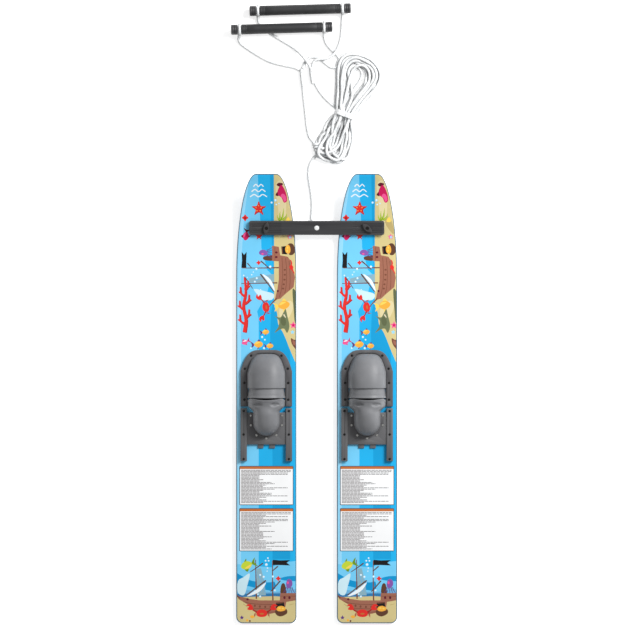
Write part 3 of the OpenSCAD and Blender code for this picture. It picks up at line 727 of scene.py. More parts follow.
def paint_ship(art, place, turn, size):
    """A sunken ship: hull with its planks, two masts with their yards, torn sails and a pennant."""
    art.at(place, turn, size)
    art.add("white_sail", blob([(-43, 62), (-60, 52), (-74, 42), (-74, 12), (-58, 6), (-50, 30)], 3))
    art.add("grey_sail", [(-25, 74), (-14, 76), (-6, 45), (-1, 5), (-25, 5)])
    art.add("slate_sea", stroke([(-20, 60), (-14, 40), (-12, 15)], 2),
            stroke([(-10, 50), (-6, 30), (-5, 12)], 1.5))
    art.add("timber", blob([(37, 10), (38, 30), (43, 37), (49, 32), (51, 10)], 3))
    art.add("hull", [(79, 11), (76, -8), (52, -12), (48, -33), (36, -42), (14, -48), (-10, -54), (-38, -50),
                     (-56, -28), (-71, -12), (-74, 3), (-59, 0), (-45, -4), (-17, -8), (35, -8), (36, 11)])
    art.add("plank", stroke([(-66, -10), (-40, -16), (0, -19), (46, -17)], 1.4),
            stroke([(-56, -25), (-30, -29), (10, -30), (44, -27)], 1.4),
            stroke([(-46, -38), (-20, -40), (10, -39), (36, -37)], 1.4),
            stroke([(37, 3), (76, 3)], 1.2))
    for x, y in ((11, -25), (-3, -25), (-17, -24), (-30, -22), (-42, -20)):
        art.add("plank", oval(x, y, 2.6, 3.2, count=10))
    art.add("maroon", oval(47, -1, 3, 3.6), oval(60, -1, 3, 3.6), oval(-49, -5, 3, 3))
    art.add("plank", stroke([(-26, -4), (-27, 45), (-28, 98)], 3.6, 2),
            stroke([(17, -8), (16, 45), (16, 96)], 3.6, 2),
            stroke([(-70, -2), (-84, 12), (-98, 22)], 4.5, 2))
    art.add("timber", stroke([(-1, 44), (-26, 25), (-51, 6)], 4, 2.4),
            stroke([(36, 43), (24, 29), (11, 15)], 3.6, 2.4),
            stroke([(30, 81), (22, 74), (15, 68)], 3.4, 2.2),
            stroke([(-9, 89), (-24, 78), (-42, 66)], 3.4, 1.8))
    art.add("white", blob([(-1, 39), (-26, 20), (-51, 3), (-30, 8), (-12, 20)], 3))
    art.add("black", [(17, 98), (36, 96), (62, 97), (53, 90), (62, 83), (36, 84), (17, 84)])
    art.add("red", star(31, 49, 7, 0.6, 4))
    art.add("violet", *[stroke([(59 + x, 26), (59 + 1.5 * x, 18), (59 + 2.2 * x, 11)], 2.6, 1)
                        for x in (-7, -3.5, 0, 3.5, 7)])
    art.add("purple", blob([(51, 34), (54, 45), (60, 48), (67, 42), (67, 31), (60, 24), (53, 26)]))
    art.add("pink", oval(56, 38, 2.5, 3.5))


def paint_bubbles(art, *rows):
    art.at()
    for u, v, r in rows:
        art.add("pale", oval(u, v, r, r, count=10))
        art.add("white", oval(u, v + 0.2 * r, 0.72 * r, 0.66 * r, count=10))


def ski_print():
    """The print of a ski: bands of sea over sand, sea life and a sunken ship, all plain shapes."""
    art = Print().at()
    side, tip, tail = 90, 370, -820

    art.add("pale", [(-side, tail), (-66, tail), (-66, 120), (-58, 250), (-40, tip), (-side, tip)])
    art.add("mid", [(-20, tail), (-20, -15), (-24, 4), (1, 48), (14, 100), (2, 112), (-13, 170),
                    (-14, 205), (-20, 318), (-22, tip), (side, tip), (side, tail)])
    art.add("deep", [(16, -380), (13, -180), (10, -60), (12, 0), (20, 38), (13, 220), (10, tip), (62, tip),
                     (62, -380)])
    art.add("mid", [(62, -130), (62, -640), (side, -640), (side, -100)])
    art.add("deep", [(16, -380), (16, -640), (62, -640), (62, -380)])
    shore = blob([(22, 22), (28, 0), (31, -30), (42, -49), (51, -69), (62, -97), (80, -135), (side, -120),
                  (side, 20), (60, 30)], 3)
    art.add("sand", [(20, tip), (20, 38)] + shore[:-9] + [(side, 40), (side, tip)])
    art.add("sand_light", blob([(24, 330), (32, 260), (30, 200), (44, 210), (52, 280), (44, 340)], 3),
            blob([(34, 10), (40, -20), (60, -10), (70, 20), (58, 32)], 3))
    art.add("sand_dark", blob([(46, 236), (58, 215), (70, 205), (66, 232), (54, 250)], 3))

    # Tip: swell lines, starfish, weed and a large fish
    for v, reach in ((330, 13), (317, 18), (304, 22)):
        swell = [(-20 + reach * t, v + (3 if abs(t) == .5 else -3)) for t in (-1, -.5, 0, .5, 1)]
        art.add("white", stroke(swell, 3, 2.4))
    art.add("dark_red", star(-19, 270, 20, 0.45), star(-19, 199, 10, 0.45))
    art.add("red", star(-20, 271, 18, 0.45), star(-20, 200, 9, 0.45))
    art.add("yellow", *[oval(-20 + 7 * math.sin(k), 271 + 7 * math.cos(k), 1.2, 1.2, count=8)
                        for k in (0, 1.257, 2.513, 3.770, 5.027)])
    art.add("red", star(-55, 247, 9, 0.62, 4))
    art.add("dark_red", oval(-55, 246, 3, 3, count=10))
    paint_fish(art, (-53, 201), 80, 1.25, "magenta", "pink", "maroon", -1)
    art.at().add("maroon", blob([(27, 331), (33, 337), (44, 334), (36, 327)]),
                 blob([(24, 306), (31, 315), (32, 303)]))
    art.add("magenta", blob([(38, 331), (30, 318), (31, 306), (40, 298), (46, 286), (54, 291), (52, 308),
                             (45, 325)]))
    art.add("pink", blob([(37, 302), (43, 297), (47, 288), (52, 293), (49, 305), (42, 309)]))
    for foot, top, bend in (((36, 240), (29, 254), -3), ((38, 240), (36, 264), -2),
                            ((40, 241), (45, 271), 1), ((43, 241), (53, 258), 3)):
        middle = ((foot[0] + top[0]) / 2 + bend, (foot[1] + top[1]) / 2)
        art.add("green", stroke([foot, middle, top], 6, 1))
        art.add("lime", stroke([(foot[0] + 1, foot[1]), middle, top], 2.4, 0.8))
    art.add("yellow", blob([(50, 238), (56, 249), (61, 243), (60, 236)]))
    art.add("pink", star(61, 198, 8))
    art.add("pale", star(62, 197, 4.5))

    # Front scene: the ship on its side, a chest, a crab, a coral and a ray
    paint_ship(art, (25, 102), 90, 0.92)
    paint_chest(art, (58, 165), 90, 0.92)
    art.at().add("red", blob([(60, 118), (64, 112), (70, 116), (68, 123), (62, 124)]),
                 stroke([(64, 122), (66, 130), (63, 138)], 3.4, 2),
                 stroke([(66, 114), (70, 108), (73, 102)], 3.4, 2))
    paint_coral(art, (-57, 22))
    paint_crab(art, (0, 15), 98, 0.86)
    paint_fish(art, (44, 20), 12, 1.7, "gold", "yellow", "yellow")
    art.at().add("ray", blob([(22, -8), (36, -12), (45, 2), (50, 10), (55, -10), (60, -34), (54, -52),
                              (46, -41), (34, -44), (21, -52), (31, -36), (33, -20)]))
    art.add("weed", oval(44, -22, 7, 12, 10),
            blob([(68, 60), (76, 56), (81, 30), (81, -20), (74, -24), (71, 10)]))
    art.add("cream", stroke([(45, -4), (50, -12)], 3.4, 2))
    art.add("pink", star(70, -32, 10))
    art.add("magenta", oval(70, -32, 3, 3))
    art.add("pale", star(68, -50, 6))
    paint_fish(art, (-3, -50), 8, 1.0, "gold", "yellow", "violet")
    paint_fish(art, (-22, -82), 5, 1.3, "gold", "yellow", "violet")
    paint_fish(art, (8, -86), 5, 1.0, "gold", "yellow", "violet")
    paint_fish(art, (-55, -76), 25, 0.95, "pink", "white", "magenta", -1)
    art.at().add("plank", blob([(64, -66), (72, -70), (82, -72), (82, -100), (74, -92), (66, -80)]))
    art.add("hull", blob([(68, -72), (74, -74), (78, -84), (70, -82)]))
    paint_bubbles(art, (14, 286, 3), (24, 292, 3.4), (26, 281, 2.4), (33, 284, 2), (-59, 97, 2.4),
                  (-38, 99, 2.2), (-26, 114, 3.4), (10, 120, 3.4), (-25, 90, 3), (-30, 81, 3), (-11, -63, 3),
                  (-4, -70, 2.4), (-6, -92, 3.2), (-40, -92, 2.6), (-34, 106, 1.8), (-50, 92, 1.6),
                  (-15, 60, 1.8))

    # Tail: sea, waves and sand with the same ship upright, a chest and a crab
    art.at().add("light", [(-side, -652), (-10, -660), (14, -662), (32, -650), (side, -644), (side, tail),
                           (-side, tail)])
    art.add("wave", blob([(-86, -674), (-68, -682), (-46, -694), (-20, -700), (8, -701), (22, -700),
                          (20, -722), (-16, -718), (-42, -712), (-86, -700)], 3),
            blob([(34, -692), (56, -685), (88, -686), (88, -697), (56, -697)], 3))
    art.add("slate_sea", [(-side, -718), (-20, -724), (20, -727), (side, -716), (side, tail), (-side, tail)])
    art.add("navy_sea", [(-side, -731), (side, -729), (side, tail), (-side, tail)])
    art.add("sand", [(-side, -740), (20, -737), (side, -742), (side, tail), (-side, tail)])
    art.add("sand_light", blob([(-60, -780), (-30, -790), (20, -798), (60, -790), (74, -776), (40, -800),
                                (-20, -806), (-60, -796)], 3))
    paint_ship(art, (0, -740), 0, 1.0)
    art.at().add("sand", blob([(-84, -748), (-60, -752), (-44, -764), (-30, -778), (0, -784), (24, -780),
                               (44, -772), (56, -758), (84, -752), (84, -830), (-84, -830)], 3))
    art.add("sand_dark", stroke([(-60, -757), (-46, -768), (-34, -776)], 2, 1),
            stroke([(60, -760), (72, -757)], 2, 1))
    paint_chest(art, (38, -772), 0, 0.95)
    paint_crab(art, (-12, -783), 0, 0.95)
    paint_fish(art, (-50, -656), 200, 1.7, "lime", "yellow", "green")
    art.at().add("gold", blob([(-43, -790), (-36, -787), (-31, -791), (-37, -795)]), oval(-50, -800, 3, 3))
    art.add("violet", star(-64, -793, 6))
    art.add("maroon", oval(-43, -802, 2.4, 2.4, count=10))
    paint_bubbles(art, (0, -655, 4), (-2, -645, 2.6), (6, -645, 2.6), (4, -638, 2.4), (3, -664, 2.4),
                  (-16, -682, 3), (-7, -687, 3.4), (17, -686, 3.2), (22, -722, 3.2), (-16, -738, 3),
                  (-22, -732, 2.4), (2, -672, 2))
    return art.shapes


RULE_ENDS = [-14, -4, 4, 18, 26, 60]
RULE_ODDS = [.2, .2, .2, .1, .1, .2]
FAINT_HALF, RULE_HALF = 1.25, 0.8
FAINT_GAP, RULE_GAP = 0.7, 1.1


def panel_print(half_u, half_v, seed):
    """An information panel with its wording replaced by plain rules of uneven length."""
    rng = np.random.default_rng(seed)
    art = Print().at()
    border, head, pitch, column = 1.8, 6.3, 3.5, -0.06 * half_u
    left, right, low, high = -half_u + border, half_u - border, -half_v + border, half_v - border
    art.add("paper", [(left, low), (right, low), (right, high), (left, high)])
    art.add("orange", [(left, high - head), (right, high - head), (right, high), (left, high)])
    rows = int((high - head - low - 3) / pitch)
    for row in range(rows):
        v = high - head - 3.4 - row * pitch
        reach = right - 5 if row < 2 else column + rng.choice(RULE_ENDS, p=RULE_ODDS)
        u = left + 3
        while u < min(reach, right - 4):
            word = rng.uniform(5.0, 12.0)
            stop = min(u + word, reach, right - 4)
            faint = stop < column
            half = FAINT_HALF if faint else RULE_HALF
            art.add("faint_rule" if faint else "rule",
                    [(u, v - half), (stop, v - half), (stop, v + half), (u, v + half)])
            u += word + (FAINT_GAP if faint else RULE_GAP)
    return art.shapes


def ccw(loop):
    """The same loop, counterclockwise."""
    area = sum(a[0] * b[1] - b[0] * a[1] for a, b in zip(loop, loop[1:] + loop[:1]))
    return loop if area > 0 else loop[::-1]


def printed_mesh(name, outline, shapes, height, thick, rim_drop, stations, inner, edge_ink, back):
    """A closed thin sheet, its top cut along the printed shapes, one ink a face."""
    loops = [ccw(loop) for loop in [outline, inner] + [shape for _, shape in shapes]]
    verts, faces = [], []
    for loop in loops:
        faces.append(list(range(len(verts), len(verts) + len(loop))))
        verts += [Vector(p) for p in loop]
    edges = []
    reach = max(abs(p[0]) for p in outline) + 2
    for v in stations:
        edges.append((len(verts), len(verts) + 1))
        verts += [Vector((-reach, v)), Vector((reach, v))]
    out_verts, _, out_faces, _, _, owners = delaunay_2d_cdt(verts, edges, faces, 0, 1e-3)
    kept, colours = [], []
    for face, owner in zip(out_faces, owners):
        if 0 not in owner:
            continue
        kept.append(face)
        painted = [k for k in owner if k > 1]
        colours.append(edge_ink if 1 not in owner else shapes[max(painted) - 2][0] if painted else back)
    used = sorted({k for face in kept for k in face})
    index = {k: n for n, k in enumerate(used)}
    kept = [[index[k] for k in face] for face in kept]
    flat = [out_verts[k] for k in used]
    count = len(flat)
    sides = {pair: None for face in kept for pair in zip(face, face[1:] + face[:1])}
    border = [(a, b) for (a, b) in sides if (b, a) not in sides]
    low = {k for pair in border for k in pair}
    points = [(p.x * MM, p.y * MM, height(p.y * MM) - (rim_drop if k in low else 0))
              for k, p in enumerate(flat)]
    points += [(p.x * MM, p.y * MM, height(p.y * MM) - thick) for p in flat]
    all_faces = kept + [[k + count for k in reversed(face)] for face in kept]
    all_faces += [[b, a, a + count, b + count] for a, b in border]
    obj = add_object(name, points, all_faces)
    names = sorted({*colours, edge_ink})
    for colour in names:
        obj.data.materials.append(ink(colour))
    slots = [names.index(c) for c in colours] + [names.index(edge_ink)] * (len(kept) + len(border))
    obj.data.polygons.foreach_set("material_index", slots)
    sharpen(obj, 20)
    obj.data.update()
    return obj


DECK_EDGE = 2.6 * MM
DECK_ROLL = 0.6 * MM
PANEL_HALF, PANEL_CORNER, PANEL_T, PANEL_ROLL = 70.5, 2.5, 0.3 * MM, 0.1 * MM
PANEL_SPANS = ((-398, -500), (-508, -620))
PANEL_SEED = 11


def to_mm(points):
    return [(u / MM, v / MM) for u, v in points]


rocker_stations = [TAIL_V / MM + TAPER_LEN / MM]
rocker_stations += [TIP_V / MM - ROCKER_LEN / MM + 10 * i for i in range(25)]
ski_shapes = ski_print()
for side, sign in SIDES.items():
    sheet = printed_mesh("printed_deck_" + side, to_mm(ski_outline()), ski_shapes, deck_z, SHEET_T, DECK_ROLL,
                         rocker_stations, to_mm(ski_outline(DECK_EDGE)), "edge", "light")
    sheet.data.transform(Matrix.Translation((sign * SKI_X, 0, 0)))
    place(sheet, "ski_" + side, "printed_top", "top_sheet_" + side)

for side, sign in SIDES.items():
    for k, (top, bottom) in enumerate(PANEL_SPANS):
        half_v = (top - bottom) / 2
        outline = [(x * (PANEL_HALF - PANEL_CORNER) + PANEL_CORNER * math.cos(a),
                    y * (half_v - PANEL_CORNER) + PANEL_CORNER * math.sin(a))
                   for n, (x, y) in enumerate([(-1, -1), (1, -1), (1, 1), (-1, 1)])
                   for a in [math.radians(180 + 90 * n + 22.5 * i) for i in range(5)]]
        inner = [(u * 0.995, v * 0.995) for u, v in outline]
        rules = panel_print(PANEL_HALF, half_v, PANEL_SEED + k)
        panel = printed_mesh(f"info_panel_{side}_{k + 1}", outline, rules, lambda v: SKI_T + PANEL_T, PANEL_T,
                             PANEL_ROLL, [], inner, "slate", "slate")
        panel.data.transform(Matrix.Translation((sign * SKI_X, (top + bottom) / 2 * MM, 0)))
        place(panel, "ski_" + side, "white_film", *(["info_panels_" + side] if k == 0 else []))


# Rigid pieces: the CAD shape with its edges rounded

def refined(node, width, material, body, slot, degrees=32):
    """Stands for a CAD node: its own mesh, merged, with every sharp edge rounded."""
    bm = bmesh.new()
    bm.from_mesh(frame["nodes"][node].data)
    bmesh.ops.remove_doubles(bm, verts=bm.verts, dist=2e-6)
    bmesh.ops.dissolve_limit(bm, angle_limit=math.radians(1), verts=bm.verts, edges=bm.edges)
    sharp = [e for e in bm.edges if e.is_manifold and e.calc_face_angle(0) > math.radians(degrees)]
    bmesh.ops.bevel(bm, geom=sharp, offset=width, segments=2, profile=0.5, affect="EDGES", clamp_overlap=True)
    bmesh.ops.remove_doubles(bm, verts=bm.verts, dist=1e-6)
    bmesh.ops.triangulate(bm, faces=[f for f in bm.faces if len(f.verts) > 4])
    mesh = bpy.data.meshes.new(node + "_shape")
    bm.to_mesh(mesh)
    bm.free()
    obj = linked(node + "_shape", mesh)
    mesh.materials.append(material)
    mesh.shade_smooth()
    sharpen(obj, 38)
    return place(obj, body, slot, node)


refined("spreader_bar", 0.7 * MM, BLACK_PLASTIC, "spreader", "black_plastic")
for side in SIDES:
    ski, heel = "ski_" + side, "heel_slide_" + side
    refined("ski_core_" + side, 1.5 * MM, EDGE_PAINT, ski, "painted_edge")
    refined("bar_pad_" + side, 0.4 * MM, BLACK_RUBBER, ski, "black_rubber")
    refined("turn_knob_" + side, 0.8 * MM, KNOB_PLASTIC, "knob_" + side, "black_plastic")
    refined("toe_frame_" + side, 0.8 * MM, GREY_PLASTIC, ski, "grey_plastic")
    refined("outer_rail_" + side, 0.8 * MM, GREY_PLASTIC, ski, "grey_plastic")
    refined("inner_rail_" + side, 0.8 * MM, GREY_PLASTIC, ski, "grey_plastic")
    refined("heel_plate_" + side, 0.5 * MM, GREY_PLASTIC, heel, "grey_plastic")
    refined("latch_" + side, 0.5 * MM, GREY_PLASTIC, "latch_" + side, "grey_plastic")
    refined("heel_pad_" + side, 0.6 * MM, FOOT_FOAM, heel, "foot_foam")

CARRIED = {"toe_frame_screws": BLACK_STEEL, "rail_screws": BLACK_STEEL, "heel_screws": BRIGHT_STEEL,
           "stud": BLACK_STEEL, "handle_tube": ALUMINIUM, "rope_stopper": NYLON}
for node, obj in frame["nodes"].items():
    for kind, material in CARRIED.items():
        if kind in node:
            obj.data.materials.clear()
            obj.data.materials.append(material)


# Rubber: domed shells with the same rules as the CAD model's, closed to a round nose

BEAD, BEAD_WIDE = 0.9 * MM, 4.5 * MM
GROOVE, GROOVE_AT, GROOVE_WIDE = 0.5 * MM, 8 * MM, 1.1 * MM
RIM_ROUND = 0.9 * MM


def closing(t, power):
    return 1.0 if t <= 0 else max(0.0, 1 - min(t, 1.0) ** power) ** (1 / power)


def arch_row(half, height, y, z, flat, steps=56):
    a = math.pi * (1 - np.arange(steps + 1) / steps)
    x = half * np.sign(np.cos(a)) * np.abs(np.cos(a)) ** (2 / flat)
    up = height * np.clip(np.sin(a), 0, 1) ** (2 / flat)
    return np.stack([x, np.full(steps + 1, y), z + up], axis=1)


def rubber_shell(name, rows, wall, material):
    """A closed shell of even wall, grown inwards from its outer surface, with a bead along its open rim."""
    grid = np.array(rows)
    across, along = np.gradient(grid, axis=1), np.gradient(grid, axis=0)
    normal = np.cross(along, across)
    normal /= np.linalg.norm(normal, axis=2)[:, :, None] + 1e-12
    if ((grid - grid.mean(axis=(0, 1))) * normal).sum() < 0:
        normal = -normal
    from_rim = np.linalg.norm(grid - grid[0][None], axis=2)
    bead = BEAD * np.clip(1 - (from_rim / BEAD_WIDE) ** 2, 0, 1) ** 0.5
    groove = -GROOVE * np.exp(-((from_rim - GROOVE_AT) / GROOVE_WIDE) ** 2)
    base = grid[:, :, 2].min()
    rise = np.clip((grid[:, :, 2] - base) / (5 * MM), 0, 1)
    grid = grid + normal * ((bead + groove) * rise)[:, :, None]
    bm = bmesh.new()
    rows_n, cols_n = grid.shape[:2]
    verts = [bm.verts.new(p) for p in grid.reshape(-1, 3)]
    for f in grid_faces(rows_n, cols_n, False):
        bm.faces.new([verts[i] for i in f])
    bmesh.ops.remove_doubles(bm, verts=bm.verts, dist=0.05 * MM)
    bmesh.ops.recalc_face_normals(bm, faces=bm.faces)
    bm.normal_update()
    if sum(f.normal.z for f in bm.faces) < 0:
        bmesh.ops.reverse_faces(bm, faces=bm.faces)
    mesh = bpy.data.meshes.new(name)
    bm.to_mesh(mesh)
    bm.free()
    obj = linked(name, mesh)
    mesh.materials.append(material)
    mesh.shade_smooth()
    solid = obj.modifiers.new("wall", "SOLIDIFY")
    solid.thickness = wall
    solid.offset = -1
    solid.use_even_offset = False
    round_off = obj.modifiers.new("rim", "BEVEL")
    round_off.width = RIM_ROUND
    round_off.segments = 2
    round_off.limit_method = "ANGLE"
    round_off.angle_limit = math.radians(50)
    return obj


DECK = SKI_T
TOE_BACK, TOE_FRONT, TOE_TURN, BAND_BACK = -195 * MM, -106.4 * MM, -156 * MM, -220.8 * MM
BAND_INSET = 4.2 * MM
TOE_HALF, TOE_HEIGHT = 49.6 * MM, 54 * MM
PLATE_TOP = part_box("heel_plate_left")[1][2]
CUP_FRONT, CUP_BACK, CUP_TURN = -222 * MM, -319.5 * MM, -284 * MM
WING_HALF, CUP_HALF = 48 * MM, 34.5 * MM
CUP_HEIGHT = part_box("heel_cup_left")[1][2] - PLATE_TOP
WALL = 3.5 * MM
TOE_ARCH, CUP_ARCH = 2.3, 2.2
DIP, DIP_Y, DIP_WIDE = 4.5 * MM, 244 * MM, 13 * MM
HOLLOW, HOLLOW_X, HOLLOW_Y = 4.5 * MM, 22.5 * MM, 237 * MM
HOLLOW_HALF_X, HOLLOW_HALF_Y = 11.5 * MM, 5 * MM
FLANGE_OUTER, FLANGE_INNER = (66.8, -96.3, -152), (47.6, -107, -158)
FLANGE_BACK, FLANGE_LOW, FLANGE_HIGH = -242.8, 18.05, 19.95
BED_HALF, BED_FRONT, BED_BACK, BED_BEND = 43.9 * MM, -122 * MM, -243.5 * MM, -150 * MM
BED_T, BED_RIB, BED_PITCH = 3.6 * MM, 0.35 * MM, 5 * MM


def toe_rows(count=48):
    """Rows of the toe piece: a band a step lower behind it, then the dome that closes over the toes."""
    band = [(BAND_BACK + (TOE_BACK - 1.2 * MM - BAND_BACK) * k / 10, BAND_INSET * (0.15 + 0.85 * k / 10))
            for k in range(11)]
    band += [(TOE_BACK - 0.9 * MM, BAND_INSET * 0.6), (TOE_BACK - 0.5 * MM, BAND_INSET * 0.15)]
    rows = [arch_row(TOE_HALF - low, TOE_HEIGHT - low, y, DECK, TOE_ARCH) for y, low in band]
    for j in range(count + 1):
        y = TOE_BACK + (TOE_FRONT - TOE_BACK) * math.sin(math.pi / 2 * j / count)
        half = TOE_HALF * max(0.002, 1 - max(0, (y - TOE_TURN) / (TOE_FRONT - TOE_TURN))) ** (1 / 4.5)
        height = TOE_HEIGHT * closing((y - TOE_BACK) / (TOE_FRONT + 2 * MM - TOE_BACK), 2.2)
        rows.append(arch_row(half, height, y, DECK, TOE_ARCH))
    return rows


def flange_mesh(name):
    """The toe piece's flat edge, a thin ring that the frame clamps to the deck."""
    sections = []
    for k in range(81):
        share = 1 - abs(k - 40) / 40
        side = 1 if k < 40 else -1
        corner = []
        for half, front, bend in (FLANGE_OUTER, FLANGE_INNER):
            x = half * (1 - share ** 1.4)
            corner.append((side * x, front + (bend - front) * (x / half) ** 4.5))
        (ox, oy), (ix, iy) = corner
        sections.append([(ox, oy, FLANGE_LOW), (ox, oy, FLANGE_HIGH),
                         (ix, iy, FLANGE_HIGH), (ix, iy, FLANGE_LOW)])
    for end in (0, -1):
        back = [(x, FLANGE_BACK, z) for x, _, z in sections[end]]
        sections.insert(0 if end == 0 else len(sections), back)
    verts = [tuple(c * MM for c in p) for row in sections for p in row]
    last = len(verts) - 4
    faces = grid_faces(len(sections), 4, True) + [(3, 2, 1, 0), (last, last + 1, last + 2, last + 3)]
    return add_object(name, verts, faces, GREY_RUBBER)


def cup_half(y):
    t = min(1, max(0, (-240 * MM - y) / (18 * MM)))
    return WING_HALF + (CUP_HALF - WING_HALF) * (1 - math.cos(math.pi * t)) / 2


def cup_rows(count=64):
    """Rows from the flap back to the heel, with two oval hollows in the flap."""
    rows = []
    for j in range(count + 1):
        share = 0.6 * math.sin(math.pi / 2 * j / count) + 0.4 * j / count
        y = CUP_FRONT + (CUP_BACK - CUP_FRONT) * share
        half = cup_half(y) * closing((CUP_TURN - y) / (CUP_TURN - CUP_BACK), 2)
        height = CUP_HEIGHT * closing((CUP_FRONT - y) / (CUP_FRONT - CUP_BACK), 2.4)
        height -= DIP * math.exp(-((y + DIP_Y) / DIP_WIDE) ** 2)
        row = arch_row(half, height, y, PLATE_TOP, CUP_ARCH, 72)
        hollow = sum(np.exp(-(((row[:, 0] - s * HOLLOW_X) / HOLLOW_HALF_X) ** 2
                              + ((y + HOLLOW_Y) / HOLLOW_HALF_Y) ** 2) ** 3) for s in (-1, 1))
        row[:, 2] -= HOLLOW * hollow
        near = math.exp(-((CUP_FRONT - y) / (9 * MM)) ** 2)
        out = np.abs(row[:, 0]) / max(half, 1 * MM)
        lip = 4 * np.clip(1 - (out / 0.85) ** 2, 0, 1) + 6 * np.clip(out * 5 - 4, 0, 1) ** 2
        row[:, 1] -= near * MM * lip
        rows.append(row)
    return rows


def foot_bed_mesh(name):
    """Foam bed with a crowned, ribbed top, round at the front."""
    rows, cols = 150, 26
    top, bottom = [], []
    for j in range(rows + 1):
        y = BED_BACK + (BED_FRONT - BED_BACK) * j / rows
        half = BED_HALF * closing((y - BED_BEND) / (BED_FRONT + 0.3 * MM - BED_BEND), 2.4)
        rib = BED_RIB * math.sin(2 * math.pi * y / BED_PITCH)
        for i in range(cols + 1):
            s = -1 + 2 * i / cols
            rim = max(0, abs(s) - 0.9) * 10
            z = DECK + BED_T + (0 if abs(s) > 0.86 else rib) + 0.5 * MM * (s * s) - 1.2 * MM * rim ** 2
            top.append((half * s, y, z))
            bottom.append((half * s, y, DECK + 0.05 * MM))
    count = len(top)
    faces = grid_faces(rows + 1, cols + 1, False)
    edge = [*range(cols)] + [cols + r * (cols + 1) for r in range(rows)]
    edge += [rows * (cols + 1) + i for i in range(cols, 0, -1)] + [r * (cols + 1) for r in range(rows, 0, -1)]
    under = [tuple(i + count for i in reversed(f)) for f in faces]
    skirt = [(b, a, a + count, b + count) for a, b in zip(edge, edge[1:] + edge[:1])]
    return add_object(name, top + bottom, faces + under + skirt, FOOT_FOAM)


for side, sign in SIDES.items():
    shift = Matrix.Translation((sign * SKI_X, 0, 0))
    toe = rubber_shell("toe_rubber_" + side, toe_rows(), WALL, GREY_RUBBER)
    cup = rubber_shell("heel_rubber_" + side, cup_rows(), WALL, GREY_RUBBER)
    bed = foot_bed_mesh("foot_foam_" + side)
    flange = flange_mesh("toe_flange_" + side)
    sharpen(flange, 40)
    for piece in (toe, cup, bed, flange):
        piece.data.transform(shift)
    place(flange, "ski_" + side, "grey_rubber")
    place(toe, "ski_" + side, "grey_rubber", "toe_piece_" + side)
    place(cup, "heel_slide_" + side, "grey_rubber", "heel_cup_" + side)
    place(bed, "ski_" + side, "foot_foam", "foot_bed_" + side)


# Handles: turned shapes about each handle's own axis, and the rope's eyes round them

def handle_frame(joint):
    """Matrix from a handle's own frame, z along it, to the set's frame."""
    axis = Vector(JOINTS[joint]["axis"])
    axis = axis if axis.x > 0 else -axis
    turn = axis.to_track_quat("Z", "Y").to_matrix().to_4x4()
    return Matrix.Translation(JOINTS[joint]["pos_m"]) @ turn


def lathe(name, profile, material, where, segments=72):
    """A ring-shaped solid: a closed profile of (radius, place along the axis) turned about the axis."""
    verts = [(r * math.cos(2 * math.pi * k / segments), r * math.sin(2 * math.pi * k / segments), z)
             for r, z in profile for k in range(segments)]
    faces, count = [], len(profile)
    for j in range(count):
        a, b = j * segments, (j + 1) % count * segments
        faces += [(a + k, a + (k + 1) % segments, b + (k + 1) % segments, b + k) for k in range(segments)]
    obj = add_object(name, verts, faces, material)
    sharpen(obj, 40)
    obj.data.transform(where)
    return obj


TUBE_R, GRIP_R, HANDLE_HALF, EYE_HALF, EYE_W = 9.5 * MM, 13.3 * MM, 132 * MM, 110 * MM, 8 * MM
EYE_R, EYE_ROPE_R = 12.7 * MM, 3.35 * MM


def grip_profile():
    """Foam sleeve: flared ends, then a plain barrel with shallow moulded rings near its ends."""
    half = EYE_HALF - EYE_W / 2 - 0.4 * MM
    outside = [(GRIP_R - 1.6 * MM, -half), (GRIP_R - 0.4 * MM, -half + 0.4 * MM), (GRIP_R, -half + 1.4 * MM)]
    for k in range(3):
        z = -half + (6 + 4 * k) * MM
        outside += [(GRIP_R, z - 0.8 * MM), (GRIP_R - 0.45 * MM, z), (GRIP_R, z + 0.8 * MM)]
    outside += [(GRIP_R - 0.25 * MM, -half + 40 * MM)]
    outside += [(r, -z) for r, z in reversed(outside)]
    return outside + [(TUBE_R + 0.05 * MM, half), (TUBE_R + 0.05 * MM, -half)]


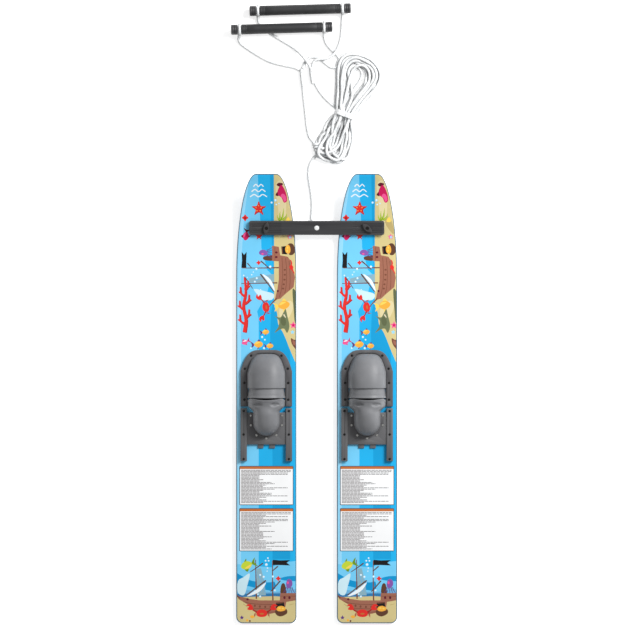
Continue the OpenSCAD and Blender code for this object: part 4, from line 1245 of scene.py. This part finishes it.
def cap_profile():
    """End cap: a collar with two rings and a rounded, slightly dished end."""
    start, end = EYE_HALF + EYE_W / 2 + 0.4 * MM, HANDLE_HALF
    r = GRIP_R
    return [(TUBE_R + 0.05 * MM, start), (r - 0.8 * MM, start), (r, start + 0.8 * MM), (r, start + 4.4 * MM),
            (r - 0.5 * MM, start + 5 * MM), (r, start + 5.6 * MM), (r, start + 9.4 * MM),
            (r - 0.5 * MM, start + 10 * MM), (r, start + 10.6 * MM), (r, end - 2.5 * MM),
            (r - 0.7 * MM, end - 0.8 * MM), (r - 2.5 * MM, end), (r - 5 * MM, end - 0.3 * MM),
            (0.4 * MM, end - 0.8 * MM), (0.4 * MM, end - 3 * MM), (TUBE_R + 0.05 * MM, end - 3 * MM)]


for who in ("skier", "tow"):
    where = handle_frame(who + "_handle_spin")
    body = who + "_handle"
    place(lathe(who + "_foam_grip", grip_profile(), BLACK_FOAM, where), body, "black_foam", who + "_grip")
    for end, sign in SIDES.items():
        flip = Matrix.Diagonal((1, 1, sign, 1))
        cap = lathe(f"{who}_cap_{end}", cap_profile(), KNOB_PLASTIC, where @ flip)
        if sign < 0:
            cap.data.flip_normals()
        place(cap, body, "black_plastic", *([who + "_end_caps"] if sign < 0 else []))
        ring = [(EYE_R * math.cos(a), EYE_R * math.sin(a), sign * EYE_HALF)
                for a in np.linspace(-0.4 * math.pi, 1.62 * math.pi, 60)]
        path = np.array([where @ Vector(p) for p in ring])
        eye = rope_mesh(f"{who}_eye_{end}", catmull(path, RING_GAP), EYE_ROPE_R)
        place(eye, "spreader", "white_rope", *([who + "_eyes"] if sign < 0 else []))


# Floor and light

FLOOR_GLOW = 0.6
STUDIO_LIGHT = 0.42
KEY_POWER, KEY_SIZE = 200, 1.6
KEY_PLACE = (2.4, 1.9, 2.6)

floor = add_object("floor", [(-6, -6, 0), (6, -6, 0), (6, 6, 0), (-6, 6, 0)], [(0, 1, 2, 3)],
                   surface("floor_paper", (250, 250, 250), (247, 247, 247), spots=2, grain=60, bump=0.02))
paper = floor.data.materials[0].node_tree.nodes["Principled BSDF"]
paper.inputs["Emission Color"].default_value = (1, 1, 1, 1)
paper.inputs["Emission Strength"].default_value = FLOOR_GLOW

world = bpy.data.worlds.new("studio")
bpy.context.scene.world = world
world.use_nodes = True
world.node_tree.nodes["Background"].inputs["Color"].default_value = (1.0, 1.0, 1.0, 1)
world.node_tree.nodes["Background"].inputs["Strength"].default_value = STUDIO_LIGHT

key = bpy.data.lights.new("key", "AREA")
key.energy, key.size = KEY_POWER, KEY_SIZE
key_lamp = linked("key", key)
key_lamp.location = KEY_PLACE
key_lamp.rotation_euler = (-Vector(key_lamp.location)).to_track_quat("-Z", "Y").to_euler()
